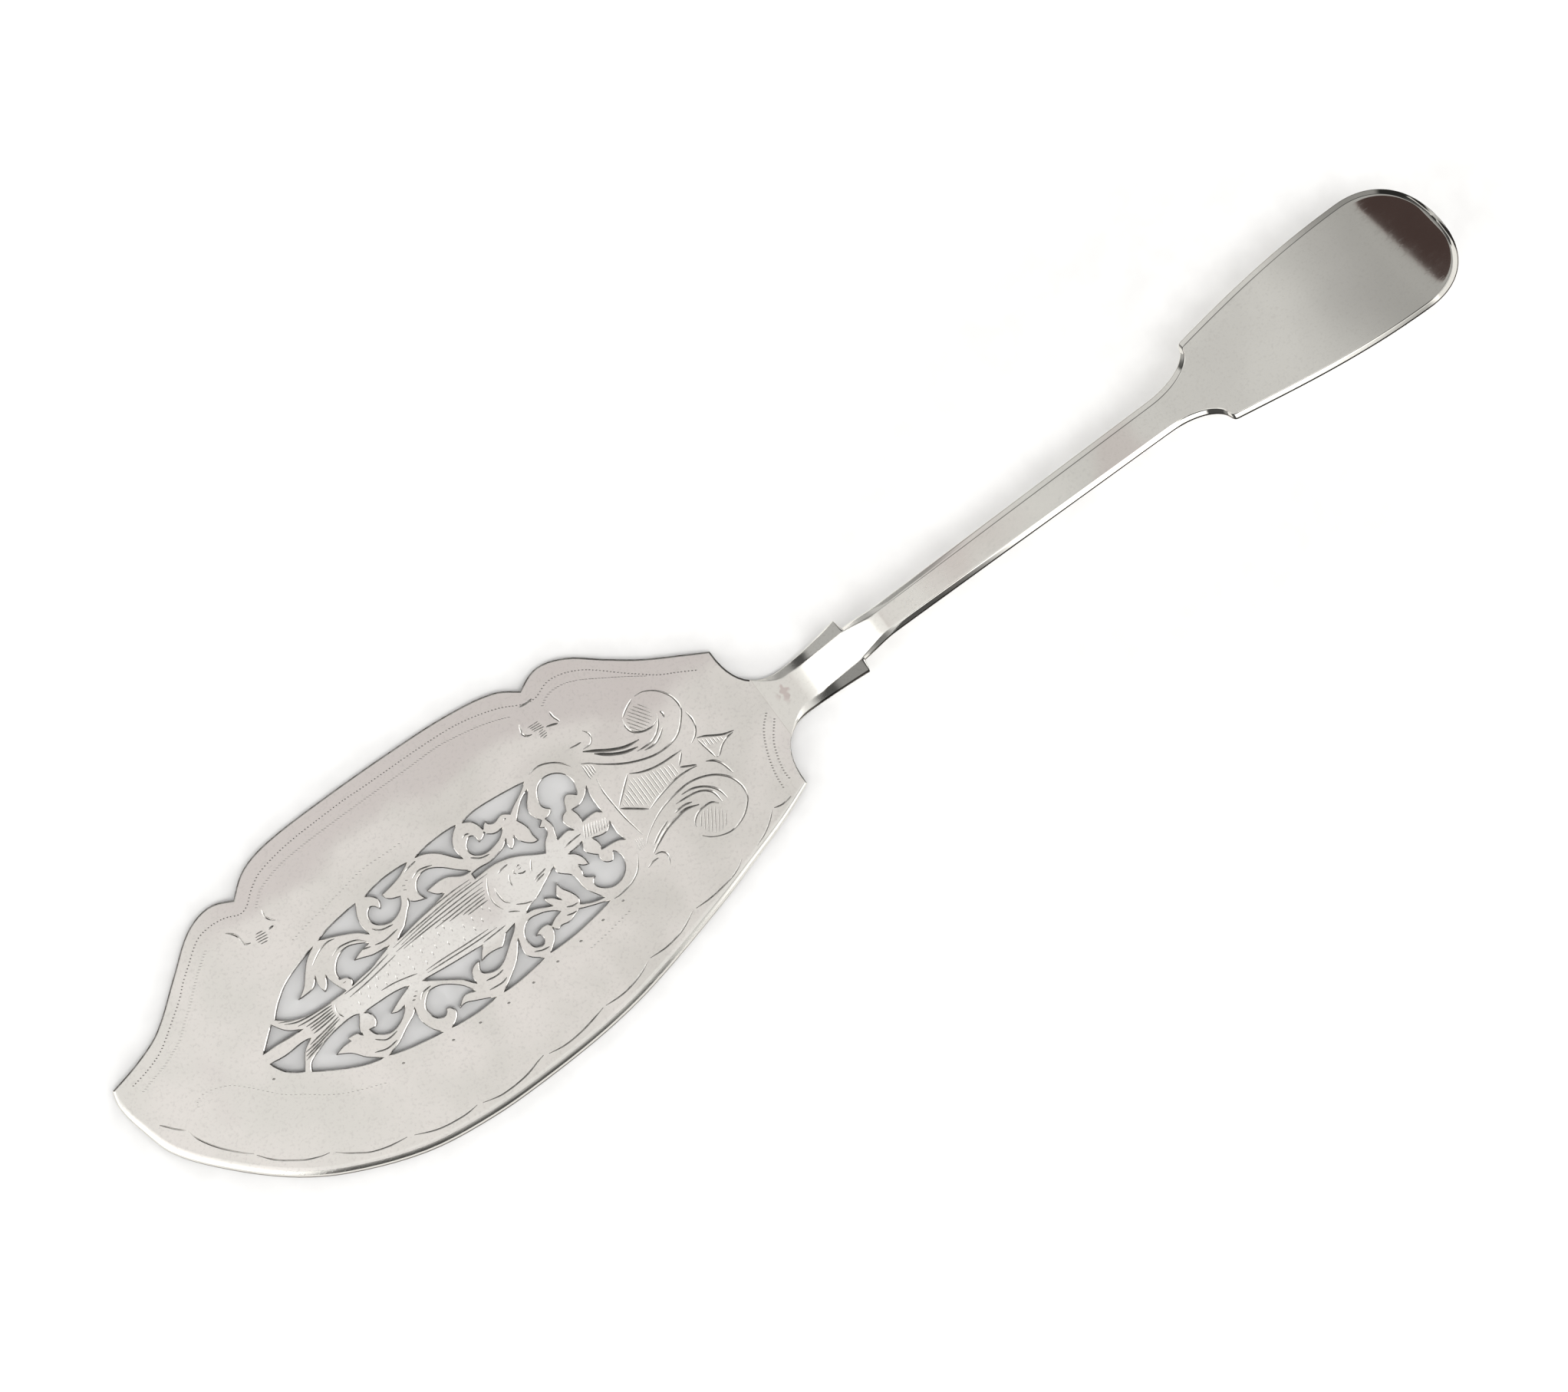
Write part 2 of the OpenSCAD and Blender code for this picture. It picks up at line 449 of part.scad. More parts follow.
// What the bevel takes off the smooth edge, above a slope that starts inside the edge
bevel_start = lower_line[0];
bevel_end = flat(heel_lower);
bevel_line = concat(
    [bevel_start + overrun * unit(bevel_start - lower_line[1])],
    lower_line,
    [bevel_end, bevel_end + overrun * unit(bevel_end - lower_line[len(lower_line) - 1])]
);
function bevel_ring(i) =
    let (
        last = len(bevel_line) - 1,
        along = unit(bevel_line[min(i + 1, last)] - bevel_line[max(i - 1, 0)]),
        out = [along.y, -along.x],
        share = mix(bevel_taper, 1, sqrt(max(0, sin(180 * i / last)))),
        width = bevel_w * share,
        depth = (sheet_t - edge_t) * share,
        turn = bevel_rounding[len(bevel_rounding) - 1],
        steep = depth * (1 - turn.y) / (width * (1 - turn.x)),
        inner = bevel_line[i] - out * width,
        outer = bevel_line[i] + out * overrun,
        high = sheet_t + overrun
    )
    concat(
        [[outer.x, outer.y, high], [inner.x, inner.y, high]],
        [for (p = bevel_rounding)
            let (q = inner + out * width * p.x) [q.x, q.y, sheet_t - depth * p.y]],
        [[outer.x, outer.y, sheet_t - depth - steep * overrun]]
    );
module bevel_cut() {
    loft([for (i = [0:len(bevel_line) - 1]) bevel_ring(i)]);
}

// The sloping joint: what the tab loses above, what the tongue loses below, and the film between
tab_shoulder = sheet_t - scarf_nib;
tongue_x = scarf_x + solder_t;
tongue_end = scarf_end + solder_t;
module tab_cut() {
    across([
        [scarf_x, sheet_t + overrun], [scarf_x, tab_shoulder], [scarf_end, scarf_nib],
        [scarf_end + overrun, scarf_nib], [scarf_end + overrun, sheet_t + overrun]
    ]);
}
module tongue_cut() {
    across([
        [tongue_x - overrun, -overrun], [tongue_x - overrun, tab_shoulder + solder_t],
        [tongue_x, tab_shoulder + solder_t], [tongue_end, scarf_nib + solder_t], [tongue_end, -overrun]
    ]);
}
module film_profile() {
    across([
        [scarf_x, sheet_t], [scarf_x, tab_shoulder], [scarf_end, scarf_nib], [scarf_end, 0],
        [tongue_end, 0], [tongue_end, scarf_nib + solder_t], [tongue_x, tab_shoulder + solder_t],
        [tongue_x, sheet_t]
    ]);
}

// Rings of the handle, from the tongue's nib to the end. Towards the end they slant and drift a little.
function ring_point(x, y, z) =
    let (t = ease((x - shoulder_x) / (handle_l - shoulder_x)))
    [x - end_slant * t * y, y - end_drift * t, z];
function handle_ring(x) =
    let (top = top_half(x), side = half_w(x), under = under_half(x))
    [ring_point(x, -top, top_z(x)), ring_point(x, top, top_z(x)), ring_point(x, side, waist_z(x)),
     ring_point(x, under, under_z(x)), ring_point(x, -under, under_z(x)), ring_point(x, -side, waist_z(x))];
handle_stations = concat(
    span(tongue_x, flare_l, tongue_sections),
    span(flare_l, neck_l, neck_sections),
    [neck_l],
    span(neck_l + spur_step, crank_end, crank_sections),
    span(crank_end, stem_end_x, stem_sections),
    [for (u = span(0, 90, shoulder_sections)) stem_end_x + shoulder_flare_l * sin(u)],
    span(shoulder_x, widest_x, fiddle_sections),
    [for (u = span(0, 90, end_sections)) widest_x + end_l * sin(u)],
    [handle_l]
);

module blade() {
    color("silver")
    difference() {
        linear_extrude(height = sheet_t)
        difference() {
            polygon(blade_plan);
            for (p = piercings) polygon(curve([for (q = p) placed(q)], len(p), saw_steps));
        }
        bevel_cut();
        tab_cut();
    }
}

module handle() {
    color("lightgray")
    difference() {
        loft([for (x = handle_stations) handle_ring(x)]);
        tongue_cut();
    }
}

module solder_seam() {
    side = neck_side(tongue_end);
    color("rosybrown")
    intersection() {
        film_profile();
        linear_extrude(height = sheet_t)
            polygon(concat([for (p = side) [p.x, -p.y]], [for (i = [len(side) - 1:-1:0]) side[i]]));
    }
}

blade();
handle();
solder_seam();
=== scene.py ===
import math
import bpy
import bmesh
from mathutils import Matrix, Vector
from mathutils.geometry import interpolate_bezier


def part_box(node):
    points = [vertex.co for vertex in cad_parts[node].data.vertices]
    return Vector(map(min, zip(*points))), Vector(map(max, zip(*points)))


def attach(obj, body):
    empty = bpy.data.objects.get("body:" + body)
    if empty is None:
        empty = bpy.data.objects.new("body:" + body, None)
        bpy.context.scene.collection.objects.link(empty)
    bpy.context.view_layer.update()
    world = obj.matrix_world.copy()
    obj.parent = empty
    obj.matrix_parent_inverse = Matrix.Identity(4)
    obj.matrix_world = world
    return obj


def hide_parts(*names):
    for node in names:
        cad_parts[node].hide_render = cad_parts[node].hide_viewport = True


# The fish slice's looks. Sizes are in millimetres, in the part's own frame; MM turns them into metres.
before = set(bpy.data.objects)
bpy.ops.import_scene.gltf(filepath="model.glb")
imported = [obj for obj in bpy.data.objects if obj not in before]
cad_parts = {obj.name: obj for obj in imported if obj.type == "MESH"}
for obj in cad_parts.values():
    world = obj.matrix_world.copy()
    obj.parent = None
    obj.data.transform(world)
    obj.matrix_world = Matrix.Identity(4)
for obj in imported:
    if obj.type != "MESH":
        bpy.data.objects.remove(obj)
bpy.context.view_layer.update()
scene = bpy.context.scene
MM = 0.001
SHEET_T = round(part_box("blade")[1].z / MM, 3)
# Rise over run of the sides of an engraved cut
CUT_SLOPE = 0.7
# How far the slice is turned in the picture, and the picture's right and upward ways on the table
TURN = math.radians(36.5)
RIGHT = Vector((math.cos(TURN), -math.sin(TURN), 0))
UPWARD = Vector((math.sin(TURN), math.cos(TURN), 0))


def mix(a, b, t):
    """The value that is a share t of the way from a to b."""
    return a + (b - a) * t


def ease(t):
    """A share that starts and stops gently, kept between 0 and 1."""
    c = min(1.0, max(0.0, t))
    return c * c * (3 - 2 * c)


def shift(x, x0, x1, a, b):
    """A value that goes gently from a at x0 to b at x1."""
    return mix(a, b, ease((x - x0) / (x1 - x0)))


def span(a, b, n):
    """Values at n even steps from a towards b, without b itself."""
    return [mix(a, b, i / n) for i in range(n)]


# Objects and meshes

def placed(name, mesh):
    """A new object at the origin, with its place in its mesh."""
    piece = bpy.data.objects.new(name, mesh)
    scene.collection.objects.link(piece)
    return piece


def merged_copy(node):
    """A node's mesh with its seams welded and its own shading taken off."""
    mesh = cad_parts[node].data.copy()
    mesh.materials.clear()
    for spare in ("custom_normal", "sharp_edge", "sharp_face"):
        if spare in mesh.attributes:
            mesh.attributes.remove(mesh.attributes[spare])
    bm = bmesh.new()
    bm.from_mesh(mesh)
    bmesh.ops.remove_doubles(bm, verts=bm.verts, dist=1e-6)
    bm.to_mesh(mesh)
    bm.free()
    return mesh


def carve(piece, cutter_mesh):
    """Takes a closed mesh away from a piece, and applies the piece's modifiers."""
    cutter = placed("cutter", cutter_mesh)
    step = piece.modifiers.new("carve", "BOOLEAN")
    step.operation = "DIFFERENCE"
    step.solver = "MANIFOLD"
    step.object = cutter
    seen = piece.evaluated_get(bpy.context.evaluated_depsgraph_get())
    carved = bpy.data.meshes.new_from_object(seen)
    piece.modifiers.clear()
    whole = piece.data
    piece.data = carved
    bpy.data.objects.remove(cutter)
    bpy.data.meshes.remove(cutter_mesh)
    bpy.data.meshes.remove(whole)


def swept(data):
    """The closed mesh of a curve swept by a low diamond, for cuts with sloping sides.

    Heights are stretched before the sweep and pressed after it, so that the square becomes a diamond.
    """
    top = SHEET_T * MM
    for line in data.splines:
        for point in line.points:
            point.co.z = top + (point.co.z - top) / CUT_SLOPE
    data.dimensions = "3D"
    data.twist_mode = "Z_UP"
    data.bevel_depth = MM
    data.bevel_resolution = 0
    data.use_fill_caps = True
    line = placed("line", data)
    seen = line.evaluated_get(bpy.context.evaluated_depsgraph_get())
    mesh = bpy.data.meshes.new_from_object(seen)
    bpy.data.objects.remove(line)
    bm = bmesh.new()
    bm.from_mesh(mesh)
    bmesh.ops.remove_doubles(bm, verts=bm.verts, dist=1e-7)
    bmesh.ops.recalc_face_normals(bm, faces=bm.faces)
    bmesh.ops.scale(bm, vec=(1, 1, CUT_SLOPE), space=Matrix.Translation((0, 0, -top)), verts=bm.verts)
    bm.to_mesh(mesh)
    bm.free()
    return mesh


# Engraved strokes: each is a path and the half width of its V

def eased_path(points, step=0.4):
    """A smooth line through the points, as short chords."""
    p = [Vector((x, y, 0)) for x, y in points]
    out = []
    for i in range(len(p) - 1):
        before = p[max(i - 1, 0)]
        after = p[min(i + 2, len(p) - 1)]
        lead = (p[i + 1] - before) / 6
        lag = (after - p[i]) / 6
        count = max(2, round((p[i + 1] - p[i]).length / step) + 1)
        chords = interpolate_bezier(p[i], p[i] + lead, p[i + 1] - lag, p[i + 1], count)
        out += chords[:-1]
    return out + [p[-1]]


def stroke(half_width, *points):
    return (eased_path(points), half_width)


def strokes(half_width, *paths):
    return [stroke(half_width, *points) for points in paths]


def hatching(half_width, count, first, last):
    """Straight strokes that step evenly from the first to the last, each given by its two ends."""
    out = []
    for i in range(count):
        t = i / (count - 1)
        a, b = [(mix(p[0], q[0], t), mix(p[1], q[1], t)) for p, q in zip(first, last)]
        out.append(stroke(half_width, a, b))
    return out


def disc_hatching(half_width, count, centre, radius, slope):
    """Straight strokes across a disc, all at one slope in degrees, just short of its edge."""
    reach = 0.94
    along = Vector((math.cos(math.radians(slope)), math.sin(math.radians(slope))))
    side = Vector((-along.y, along.x))
    out = []
    for i in range(count):
        off = radius * (2 * (i + 0.5) / count - 1)
        half = math.sqrt(radius * radius - off * off) * reach
        middle = Vector(centre) + side * off
        a, b = middle - along * half, middle + along * half
        out.append(stroke(half_width, (a.x, a.y), (b.x, b.y)))
    return out


def pricked(half_width, pitch, length, *points):
    """Short cuts spaced along a line, all lying level in the picture."""
    line = eased_path(points, 0.1)
    half = RIGHT * length / 2
    out = []
    run = pitch
    for a, b in zip(line, line[1:]):
        run += (b - a).length
        if run >= pitch:
            run -= pitch
            out.append(([a - half, a, a + half], half_width))
    return out


def layered(cuts):
    """The cuts in groups, each of cuts that stay clear of one another."""
    cell = 0.2
    layers = []
    for path, half_width in cuts:
        reach = math.ceil(half_width / cell) + 1
        marks = {(round(p.x / cell), round(p.y / cell)) for p in path}
        grown = {(i + u, j + v) for i, j in marks
                 for u in range(-reach, reach + 1) for v in range(-reach, reach + 1)}
        for group, taken in layers:
            if not grown & taken:
                break
        else:
            group, taken = [], set()
            layers.append((group, taken))
        group.append((path, half_width))
        taken |= marks
    return [group for group, taken in layers]


def engrave(piece, cuts):
    """Carves every cut, narrowed over the quarter of its length next to either end."""
    end_share, taper = 0.4, 0.25
    for group in layered(cuts):
        data = bpy.data.curves.new("cuts", "CURVE")
        for path, half_width in group:
            line = data.splines.new("POLY")
            line.points.add(len(path) - 1)
            last = len(path) - 1
            for i, (point, p) in enumerate(zip(line.points, path)):
                point.co = (p.x * MM, p.y * MM, SHEET_T * MM, 1)
                near_end = min(i, last - i) / max(1, last)
                point.radius = half_width * mix(end_share, 1, ease(near_end / taper))
        carve(piece, swept(data))


# The blade's rims

# Edges past the first lie in the soldered joint, and a rim longer than the second is the outline
JOINT_X, LONG_RIM = 2.9, 100


def rim_cutter(mesh, outer, inner):
    """A sweep along the edges between upright walls and the level top.

    One half width is for the outline, and the other for the piercings.
    """
    bm = bmesh.new()
    bm.from_mesh(mesh)
    kept = set()
    for edge in bm.edges:
        tilts = sorted(f.normal.z for f in edge.link_faces)
        joint = all(v.co.x > JOINT_X * MM for v in edge.verts)
        if abs(tilts[0]) < 0.1 and tilts[-1] > 0.9 and not joint:
            kept.add(edge)
    bmesh.ops.delete(bm, geom=list(bm.faces), context="FACES_ONLY")
    bmesh.ops.delete(bm, geom=[e for e in bm.edges if e not in kept], context="EDGES_FACES")
    bmesh.ops.delete(bm, geom=[v for v in bm.verts if not v.link_edges], context="VERTS")
    rims = bpy.data.meshes.new("rims")
    bm.to_mesh(rims)
    bm.free()
    line = placed("rims", rims)
    bpy.ops.object.select_all(action="DESELECT")
    bpy.context.view_layer.objects.active = line
    line.select_set(True)
    bpy.ops.object.convert(target="CURVE")
    data = line.data.copy()
    bpy.data.objects.remove(line)
    for rim in data.splines:
        along = [point.co.x for point in rim.points]
        half_width = outer if max(along) - min(along) > LONG_RIM * MM else inner
        for point in rim.points:
            point.radius = half_width
    return swept(data)


def drop_chips(mesh):
    """Deletes the chips that the cuts leave loose, and keeps the largest shell."""
    bm = bmesh.new()
    bm.from_mesh(mesh)
    shells = []
    for first in bm.faces:
        if first.tag:
            continue
        first.tag = True
        shell = [first]
        for face in shell:
            beside = [other for edge in face.edges for other in edge.link_faces if not other.tag]
            for other in beside:
                other.tag = True
            shell += dict.fromkeys(beside)
        shells.append(shell)
    shells.sort(key=len)
    chips = [face for shell in shells[:-1] for face in shell]
    bmesh.ops.delete(bm, geom=chips, context="FACES")
    bm.to_mesh(mesh)
    bm.free()


# Engraving on the blade: half widths of the tools, then half width, pitch and length of the pricked lines
FAINT, SLIM, HATCH, FINE, LINE, BOLD, LEAF = 0.06, 0.09, 0.11, 0.14, 0.17, 0.22, 0.33
BORDER_PRICKS, INNER_PRICKS = (0.13, 0.68, 0.42), (FAINT, 0.62, 0.6)
HEEL_PRICKS, FAINT_PRICKS = (0.12, 0.6, 0.45), (FAINT, 0.9, 0.5)

BORDER = (
    (-136, 14), (-133.7, 14.4), (-130.9, 15.1), (-128.1, 16.2), (-125.3, 18), (-122.6, 19.9),
    (-119.8, 21.9), (-117, 24.4), (-114.2, 26.5), (-112, 28.2), (-109.8, 29.4), (-107, 29.8),
    (-103.9, 29.4), (-101.2, 28.3), (-99.2, 28.8), (-97, 30.6), (-94.8, 32), (-92.6, 32.8),
    (-88, 33.6), (-83, 34), (-78, 34.1), (-73, 34.2), (-68, 34), (-63, 33.9), (-58, 33.8),
    (-53, 33.6), (-48, 33.2), (-43.4, 32.3), (-38.7, 30.8), (-34.6, 28.7), (-31.8, 28.3),
    (-28.6, 29.4), (-25.5, 29.1), (-22.1, 27.6), (-19.3, 25.5), (-16.8, 23.2), (-13.6, 20.4),
    (-10.5, 17.9), (-7.4, 16.2), (-3.6, 14))
INNER_BORDERS = (
    ((-135.1, 12), (-132.6, 12.7), (-130.1, 13.3), (-127, 14.4), (-123.9, 15.9), (-120.9, 18.3),
     (-118.4, 20.2), (-115.6, 22.7), (-112.8, 24.9), (-110.1, 26.75)),
    ((-98, 27.5), (-95.9, 29.4), (-93.4, 30.5), (-89.1, 31.5), (-83, 31.9), (-73, 32),
     (-60.5, 31.9), (-53, 31.9), (-49.8, 31.5), (-45.1, 30.6), (-40.9, 29.4), (-38.2, 28.3)),
    ((-31.8, 26.3), (-29.6, 27.4), (-26.8, 27.4), (-23.6, 26.3), (-19.5, 23.8), (-14.9, 20.8),
     (-12.4, 19)))
HEEL_BORDERS = (
    ((1.7, -0.3), (-0.2, -2.1), (-1.75, -4.6), (-3, -7.75), (-3.8, -10.9), (-4.1, -14)),
    ((2.3, -2.1), (-0.2, -5.25), (-1.4, -8.1), (-2.1, -10.9), (-2.1, -13)))
FAINT_BORDERS = (
    ((-95.9, 18.4), (-93, 19), (-88, 19.8), (-83.4, 20.5), (-78, 21.4), (-73, 21.3), (-68.4, 21.2)),
    ((-128.4, 3.5), (-127.8, 4.5), (-125.9, 4.9), (-123.1, 4.1), (-120.9, 2.9), (-118.4, 0.5),
     (-116.2, -2), (-113.9, -4.4), (-110.8, -6.6), (-107.6, -9.1), (-104.6, -10.9),
     (-101.7, -12.2), (-97.3, -13.9)),
    ((-51.3, -16.4), (-47.3, -16), (-44, -15.5), (-41.3, -15.1)))
FESTOONS = (
    ((-136.3, 5.1), (-135.2, 3.8), (-134.2, 2.6), (-132.8, 1.3)),
    ((-132.7, 0.9), (-132, -1.2), (-130.6, -3.7), (-128.9, -6), (-126.7, -8.4), (-125.1, -9.8)),
    ((-124.8, -10.3), (-123.5, -12), (-122, -13.6), (-119.6, -15.4), (-117.6, -16.7),
     (-115.2, -17.7), (-113.5, -18.1)),
    ((-112.6, -18.7), (-111.1, -20), (-109.6, -21.1), (-107.3, -22.6), (-104.6, -23.6),
     (-102.3, -24.1), (-100.1, -24.4)),
    ((-98.8, -24.9), (-95.8, -26.3), (-93.5, -27), (-91.1, -27.4), (-88.5, -27.6), (-86, -27.4)),
    ((-84.9, -27.7), (-82.5, -28.4), (-80.7, -28.7), (-77.7, -28.7), (-75, -28.4), (-72.3, -27.7),
     (-70.5, -27.3)),
    ((-69.5, -27.7), (-66.7, -28.2), (-64, -28.2), (-61.3, -27.9), (-58.7, -27.4), (-56.2, -26.8)),
    ((-55.6, -26.8), (-53, -27), (-50.7, -26.9), (-48, -26.3), (-45.7, -25.5), (-44.2, -24.7)),
    ((-43.5, -24.6), (-40.7, -24.8), (-39, -24.7), (-36.3, -24.2), (-34, -23.3), (-31.8, -22.2)),
    ((-31, -22.2), (-28, -22.3), (-24.9, -22), (-22.1, -21.5), (-19.9, -20.7), (-18.5, -19.8)),
    ((-14.7, -19.5), (-12.1, -18.5), (-9.9, -17.1), (-8.3, -15.7)),
    ((-7.8, -15.7), (-6.1, -16.1), (-3.9, -15.8)))
BRACKETS = (
    ((-105.5, 27), (-104.5, 26.1), (-103.9, 24.9), (-103.7, 23.2), (-102.7, 22.7)),
    ((-97.4, 26.6), (-97.6, 25.2), (-97.1, 24.1), (-96.4, 23.4)),
    ((-98.5, 22.8), (-97.3, 22.8)),
    ((-37.5, 26.1), (-37.8, 25.1), (-38.1, 24.1), (-37.5, 23.3), (-36.6, 23)),
    ((-33.6, 22.6), (-32.4, 22.2), (-31.4, 21.8)),
    ((-31.4, 24.6), (-31.4, 23.5), (-31.1, 22.6), (-30.9, 21.9)),
    ((-35.5, 28.7), (-34.1, 28.5), (-32.7, 28.6)))
UPPER_VOLUTE = (
    ((-32.4, 12.9), (-31.1, 12.1), (-29.25, 10.5), (-26.1, 8.3), (-23, 6.8), (-19.9, 5.9),
     (-16.75, 5.85), (-14.25, 6.6), (-12.1, 8.5), (-10.8, 10.4), (-10.8, 12.6), (-11.6, 14.4),
     (-13, 16), (-14.9, 17.1), (-16.6, 17.3)),
    ((-17.4, 17.2), (-19.2, 16.4), (-20.8, 15.4)),
    ((-21, 15.1), (-21.4, 13.5), (-20.8, 11.9), (-19.25, 10.9), (-17.4, 10.6), (-16.1, 11)),
    ((-22.4, 8.5), (-19.9, 8.3), (-18, 8.8), (-16.4, 10), (-15.5, 11.3), (-15.25, 12.1)),
    ((-21.1, 7.8), (-19.25, 7.6), (-17.6, 8.1), (-15.8, 9.3)),
    ((-14.4, 10.7), (-14.2, 11.5), (-14.4, 12.1)),
    ((-10.5, 9.1), (-10.3, 7.25), (-10.8, 5.6), (-11.75, 4.4), (-13.2, 3.6)))
LOWER_VOLUTE = (
    ((-31.3, -6.65), (-29.25, -5.1), (-26.1, -3.5), (-23.3, -2.7), (-20.5, -2.3), (-18, -2.2),
     (-15.5, -2.75), (-13.3, -3.8), (-11.6, -5.25), (-10.65, -6.8), (-10.2, -8.7), (-10.5, -10.6),
     (-11.6, -12.1), (-13.3, -13.4), (-15.2, -14.15), (-17.1, -14.4), (-19.25, -13.8),
     (-20.8, -12.9), (-21.9, -11.8)),
    ((-21.75, -9.9), (-21.4, -8.8), (-20.2, -7.9), (-18.6, -7.6), (-16.75, -7.75), (-15.7, -8.7)),
    ((-20.5, -3.2), (-18.3, -3.45), (-16.4, -4.3), (-14.9, -5.6), (-14.1, -7), (-13.8, -8.8)),
    ((-22.4, -4), (-19.9, -4.2), (-18, -4.5), (-16.4, -5.25), (-15.3, -6.5), (-15, -8.8)),
    ((-23.6, -5.25), (-21.4, -5.1), (-19.7, -5.5)),
    ((-30.3, -7.75), (-28, -6.5), (-25.5, -5.6)),
    ((-13, -0.8), (-11.6, -1.7), (-10.65, -3.2), (-10.1, -5.6)))
LEAVES = (
    ((-30.8, 14.6), (-28.6, 13.2), (-26.1, 11.6), (-23.6, 10.5), (-20.8, 10.1)),
    ((-29.25, 13), (-26.75, 11), (-24.25, 9.7), (-21.75, 9.1)),
    ((-31.3, -9), (-29.25, -7.9), (-26.75, -6.8), (-23.9, -6.2), (-21.4, -5.95), (-18.9, -6.7)))
CURLS = (
    ((-32.4, 16.6), (-31.2, 16.35), (-30, 16.25)),
    ((-28.5, 17.9), (-27.8, 16.8), (-28, 15.7), (-28.8, 14.95), (-30.4, 14.9)),
    ((-33.8, -10.6), (-32.4, -10.25), (-31.1, -10.25)),
    ((-31.2, -9.4), (-30, -9.7), (-29.3, -10.6), (-29.6, -11.8), (-30.1, -12.6)),
    ((-31.75, 8.8), (-32.1, 6.3), (-32, 3.2), (-31.75, 0), (-31.3, -2.75), (-30.9, -4.9)),
    ((-44.4, 1.95), (-42.3, 2.15), (-40.3, 2.2)),
    ((-41.6, 17.2), (-39.25, 17.4), (-37.1, 16.6), (-35.5, 15.4), (-34.25, 13.7)),
    ((-42.4, -11.5), (-41.1, -11.6), (-39.1, -11.3), (-37.4, -10.8), (-35.5, -9.6), (-33.8, -7.2)))
LOZENGE = (
    ((-31.4, 2), (-28.9, 4.1), (-26.4, 6.15)),
    ((-26.1, 5.95), (-24.25, 4.9), (-22.1, 4.2), (-19.9, 3.85), (-17.7, 3.75), (-15.5, 3.7)),
    ((-15.7, 3.4), (-16.7, 2.4), (-17.6, 1.6)),
    ((-17.6, 1.2), (-16.2, 0.4), (-14.8, -0.3)),
    ((-14.9, -0.5), (-16.75, -0.2), (-18.9, -0.1), (-21.4, -0.4), (-24.25, -1), (-26.9, -1.8)),
    ((-27.1, -1.7), (-29.3, 0), (-31.4, 1.6)))
KITE = (
    ((-11.75, 3.8), (-10.5, 3.3), (-8.6, 2.1), (-7.1, 1.3), (-5.2, 0.8)),
    ((-5.6, 0.6), (-7.4, 0.4), (-8.9, -0.3), (-10.2, -1.35), (-10.8, -1.4)),
    ((-11.8, 3.4), (-11.5, 1.6), (-11.2, 0.1), (-11, -1.1)))
BACK_LINES = (
    ((-79, 6.9), (-75, 7.3), (-70.5, 7.7), (-66, 7.85), (-62.4, 7.75)),
    ((-81.5, 5.9), (-77, 6.4), (-73, 6.7), (-70, 6.95), (-66, 7.15), (-62.4, 7.15)),
    ((-80, 5.45), (-76, 5.95), (-72, 6.3), (-68, 6.55), (-64, 6.65), (-59, 6.65)),
    ((-81.5, 4.95), (-76, 5.35), (-71, 5.65), (-67, 5.8), (-63, 5.9), (-60.6, 5.9)),
    ((-80, 4.6), (-74.5, 4.9), (-70, 5), (-65, 5.1), (-61.2, 5.1)),
    ((-73, 4.15), (-68.5, 4.3), (-64, 4.5), (-61.3, 4.45)),
    ((-70, 3.6), (-66, 3.75), (-61.6, 3.85)),
    ((-67.3, 3.05), (-64, 3.2), (-62, 3.25)),
    ((-66.5, 2.5), (-64, 2.55), (-61.9, 2.55)))
BELLY_LINES = (
    ((-93.5, 3.25), (-90, 3.5), (-86, 4), (-82, 4.55)),
    ((-94, 4.3), (-90, 4.4), (-86.5, 4.9), (-83, 5.5)),
    ((-88, 0.7), (-85.5, 0.45), (-83, -0.1), (-80.7, -0.75)),
    ((-79, -1.25), (-75, -1.4), (-70, -1.75), (-65, -1.95)),
    ((-79, -1.8), (-74, -2.15), (-69, -2.5), (-63.5, -2.65)),
    ((-67.2, -3.45), (-64.5, -3.4), (-62, -3.3)),
    ((-60, -1.6), (-59, -2.2), (-58.2, -2.8)),
    ((-58, -1.3), (-56.5, -2.2), (-55.2, -2.6)))
HEAD_LINES = (
    ((-59.5, 6), (-60.3, 4.9), (-61, 3.4), (-61.25, 1.8), (-61, 0.6), (-60.5, -0.6)),
    ((-59.5, 3.7), (-59.7, 2.4), (-59.6, 1), (-59.2, 0.1), (-58.7, -0.5)),
    ((-57.4, 5.5), (-56, 5.75), (-54.9, 5.8)),
    ((-55.7, 4.1), (-56.3, 3.2), (-56.5, 2)),
    ((-54.3, 3.2), (-53.5, 2.75), (-52.8, 2.8)),
    ((-54.5, 4.3), (-54.9, 3.8), (-54.6, 3.3)),
    ((-53.9, 4.4), (-53.5, 4.5), (-53.1, 4.4)),
    ((-53.8, 3.8), (-53.2, 3.8)),
    ((-50.8, 3.9), (-51.5, 2.9), (-52, 2)),
    ((-52.6, 0.4), (-51, 0.65), (-49.5, 0.9)),
    ((-52.6, -0.1), (-51.2, 0.1), (-50.3, 0.25)))
